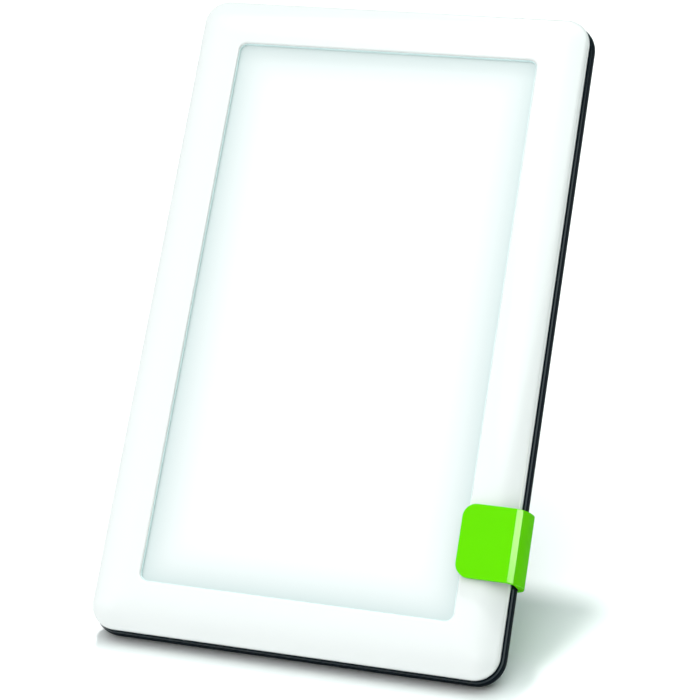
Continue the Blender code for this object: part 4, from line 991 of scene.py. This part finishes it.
class LAMP_OT_hinge(Operator):
    """Turns the hinge pin and its two friction washers"""

    bl_idname = "lamp.hinge"
    bl_label = "Hinge pin and washers"

    def execute(self, context):
        head = KNUCKLES_HIGH + FIT
        dome = arc(0.0, head, PIN_HEAD_RADIUS, 0.0, 86.0, 10)
        dome[:, 1] = head + (dome[:, 1] - head) * PIN_HEAD_HEIGHT / PIN_HEAD_RADIUS
        shank = ((PIN_TIP * PIN_RADIUS, KNUCKLES_LOW), (PIN_RADIUS, KNUCKLES_LOW + PIN_CHAMFER),
                 (PIN_RADIUS, head))
        profile = np.concatenate((shank, dome))
        pin = make_mesh("turned_pin", [(turned(profile, (HINGE_X, HINGE_Y), "z"), False)])
        zinc = small_finish("zinc_plated_steel")
        place("turned_pin", pin, zinc, "stand_clip", "zinc_plated_steel", "hinge_pin")
        lower = CLIP_BOTTOM + KNUCKLE_LENGTH + FIT
        upper = CLIP_TOP - KNUCKLE_LENGTH - FIT - WASHER_THICKNESS
        for end, low in (("lower", lower), ("upper", upper)):
            high = low + WASHER_THICKNESS
            ring = turned(((KNUCKLE_RADIUS, low), (KNUCKLE_RADIUS, high), (PIN_RADIUS + FIT, high),
                           (PIN_RADIUS + FIT, low)), (HINGE_X, HINGE_Y), "z")
            mesh = make_mesh(f"washer_{end}", [(ring, True)])
            place(f"washer_{end}", mesh, small_finish("natural_nylon"), "stand_clip", "natural_nylon",
                  f"friction_washer_{end}")
        return {"FINISHED"}


class LAMP_OT_button(Operator):
    """Makes the power button on the back"""

    bl_idname = "lamp.button"
    bl_label = "Power button"

    def execute(self, context):
        mesh = make_mesh("button_cap", [(button_rings(), False)])
        place("button_cap", mesh, small_finish("grey_button_abs"), "power_button", "grey_button_abs",
              "power_button")
        return {"FINISHED"}


class LAMP_OT_socket(Operator):
    """Makes the adapter socket with its bore and centre pin"""

    bl_idname = "lamp.socket"
    bl_label = "Adapter socket"

    def execute(self, context):
        centre = (middle("dc_socket")[0], DRIVER_Z)
        back = THICKNESS - SOCKET_FLUSH
        front = back - SOCKET_BORE_DEPTH
        barrel = np.concatenate((
            ((SOCKET_PIN_RADIUS, front - SINK), (SOCKET_NOSE_RADIUS, front - SINK)),
            arc(SOCKET_NOSE_RADIUS - SOCKET_EDGE, back - SOCKET_EDGE, SOCKET_EDGE, 0.0, 90.0, 5),
            arc(SOCKET_BORE_RADIUS + SOCKET_EDGE, back - SOCKET_EDGE, SOCKET_EDGE, 90.0, 180.0, 5),
            ((SOCKET_BORE_RADIUS, front), (SOCKET_PIN_RADIUS, front))))
        mesh = make_mesh("socket_barrel", [(turned(barrel, centre), True)])
        place("socket_barrel", mesh, small_finish("black_epoxy"), "lamp", "black_epoxy", "dc_socket")
        tip = back - SOCKET_PIN_BACK
        pin = ((SOCKET_PIN_RADIUS, front), (SOCKET_PIN_RADIUS, tip),
               (SOCKET_PIN_TIP * SOCKET_PIN_RADIUS, tip + SOCKET_PIN_CHAMFER))
        mesh = make_mesh("socket_pin", [(turned(pin, centre), False)])
        place("socket_pin", mesh, small_finish("zinc_plated_steel"), "lamp", "zinc_plated_steel")
        return {"FINISHED"}


class LAMP_OT_screws(Operator):
    """Makes the six cross-head housing screws"""

    bl_idname = "lamp.screws"
    bl_label = "Housing screws"

    def execute(self, context):
        sides = context.scene.lamp_finishes.screw_sides
        for number, (x, z) in enumerate(screw_places(), start=1):
            mesh = make_mesh(f"screw_{number}", [(screw_rings(x, z, RECESS_FLOOR_Y + FIT, sides), False)])
            place(f"screw_{number}", mesh, small_finish("zinc_plated_steel"), "lamp", "zinc_plated_steel",
                  f"housing_screw_{number}")
        return {"FINISHED"}


class LAMP_OT_feet(Operator):
    """Makes the two rubber feet and finishes the leg's rubber sole"""

    bl_idname = "lamp.feet"
    bl_label = "Rubber feet"

    def execute(self, context):
        rubber = small_finish("black_rubber")
        for bar, side in zip(foot_blocks(0.0, TABLE), ("left", "right")):
            mesh = make_mesh(f"rubber_{side}", [bar], standing=False)
            foot = place(f"rubber_{side}", mesh, rubber, "lamp", "black_rubber", f"foot_{side}")
            soften(foot, FOOT_EDGE)
        for slot in frame["nodes"]["leg_sole"].material_slots:
            slot.material = rubber
        return {"FINISHED"}


class LAMP_OT_insides(Operator):
    """Finishes the parts inside, some of which show through the vents"""

    bl_idname = "lamp.insides"
    bl_label = "Parts inside"

    def execute(self, context):
        boards = {"white_board": ("white_solder_mask", "#E9ECEA", "#D3D8D6"),
                  "green_circuit_board": ("green_solder_mask", "#0E5A2E", "#2A8048")}
        slots = {row["node"]: row["material_slot"] for row in frame["record"]["subparts"]}
        made = {}
        for name, obj in frame["nodes"].items():
            slot_name = slots[name]
            if obj.hide_render or name in ("diffuser_plate", "leg_sole"):
                continue
            if slot_name in boards and slot_name not in made:
                made[slot_name] = solder_mask(*boards[slot_name])
            material = made.get(slot_name) or small_finish(slot_name)
            for slot in obj.material_slots:
                slot.material = material
        return {"FINISHED"}


class LAMP_OT_stage(Operator):
    """Sets up the white table, the studio light and the camera"""

    bl_idname = "lamp.stage"
    bl_label = "Studio"

    def execute(self, context):
        self.add_floor()
        self.add_sky(context.scene)
        for name, kind, location, energy, settings in LIGHTS:
            self.add_light(name, kind, location, energy, settings)
        self.add_camera(context.scene)
        context.scene.view_settings.view_transform = "Standard"
        return {"FINISHED"}

    def add_floor(self):
        """Plain white table, large enough to fill the view."""
        corners = [(x * FLOOR_REACH, y * FLOOR_REACH, 0.0) for x, y in ((-1, -1), (1, -1), (1, 1), (-1, 1))]
        mesh = bpy.data.meshes.new("table")
        mesh.from_pydata(corners, [], [(0, 1, 2, 3)])
        table = bpy.data.objects.new("table", mesh)
        bpy.context.scene.collection.objects.link(table)
        mesh.materials.append(new_material("white_table", linear("#F0F1F1"), 0.6)[0])

    def add_sky(self, scene):
        """Soft light all round: brightest in front and to the left, dimmer and cooler elsewhere."""
        world = bpy.data.worlds.new("studio")
        world.use_nodes = True
        tree = world.node_tree
        coordinates = node(tree, "ShaderNodeTexCoord")
        towards = node(tree, "ShaderNodeVectorMath", {0: coordinates.outputs["Generated"], 1: SKY_TOWARDS},
                       operation="DOT_PRODUCT")
        share = node(tree, "ShaderNodeMapRange", {
            "Value": towards.outputs["Value"], "From Min": SKY_EDGE, "From Max": SKY_FULL,
        }, interpolation_type="SMOOTHSTEP")
        colour = blend(tree, share.outputs["Result"], SKY_DARK, SKY_BRIGHT)
        background = tree.nodes["Background"]
        tree.links.new(colour, background.inputs["Color"])
        background.inputs["Strength"].default_value = SKY_STRENGTH
        scene.world = world

    def add_light(self, name, kind, location, energy, settings):
        """One light that points at the middle of the lamp."""
        light = bpy.data.lights.new(name, kind)
        light.energy = energy
        for key, value in settings.items():
            setattr(light, key, value)
        lamp = bpy.data.objects.new(name, light)
        lamp.location = location
        lamp.rotation_euler = (Vector(location) - Vector(CAMERA_AIM)).to_track_quat("Z", "Y").to_euler()
        bpy.context.scene.collection.objects.link(lamp)

    def add_camera(self, scene):
        """Camera fitted to the photograph: upright, with no shift and no depth of field."""
        data = bpy.data.cameras.new("camera")
        data.lens = CAMERA_LENS
        data.sensor_width = CAMERA_SENSOR
        camera = bpy.data.objects.new("camera", data)
        camera.location = CAMERA_PLACE
        towards = Vector(CAMERA_AIM) - Vector(CAMERA_PLACE)
        camera.rotation_euler = towards.to_track_quat("-Z", "Y").to_euler()
        scene.collection.objects.link(camera)
        scene.camera = camera


class LAMP_PT_panel(Panel):
    """Lists the steps and the values that they use"""

    bl_label = "Light therapy lamp"
    bl_idname = "LAMP_PT_panel"
    bl_space_type = "VIEW_3D"
    bl_region_type = "UI"
    bl_category = "Lamp"

    def draw(self, context):
        for group in (context.scene.lamp_sizes, context.scene.lamp_finishes):
            for name in group.__annotations__:
                self.layout.prop(group, name)
        for step in STEPS:
            self.layout.operator(step.bl_idname)


STEPS = (LAMP_OT_stage, LAMP_OT_front_frame, LAMP_OT_window, LAMP_OT_rear_housing, LAMP_OT_clip, LAMP_OT_leg,
         LAMP_OT_hinge, LAMP_OT_button, LAMP_OT_socket, LAMP_OT_screws, LAMP_OT_feet, LAMP_OT_insides)
CLASSES = (LampSizes, LampFinishes, *STEPS, LAMP_PT_panel)


def register():
    for cls in CLASSES:
        bpy.utils.register_class(cls)
    bpy.types.Scene.lamp_sizes = PointerProperty(type=LampSizes)
    bpy.types.Scene.lamp_finishes = PointerProperty(type=LampFinishes)


def unregister():
    del bpy.types.Scene.lamp_sizes
    del bpy.types.Scene.lamp_finishes
    for cls in reversed(CLASSES):
        bpy.utils.unregister_class(cls)


def main():
    """Registers the classes and runs every step."""
    register()
    for step in STEPS:
        group, name = step.bl_idname.split(".")
        getattr(getattr(bpy.ops, group), name)()


if __name__ == "__main__":
    main()
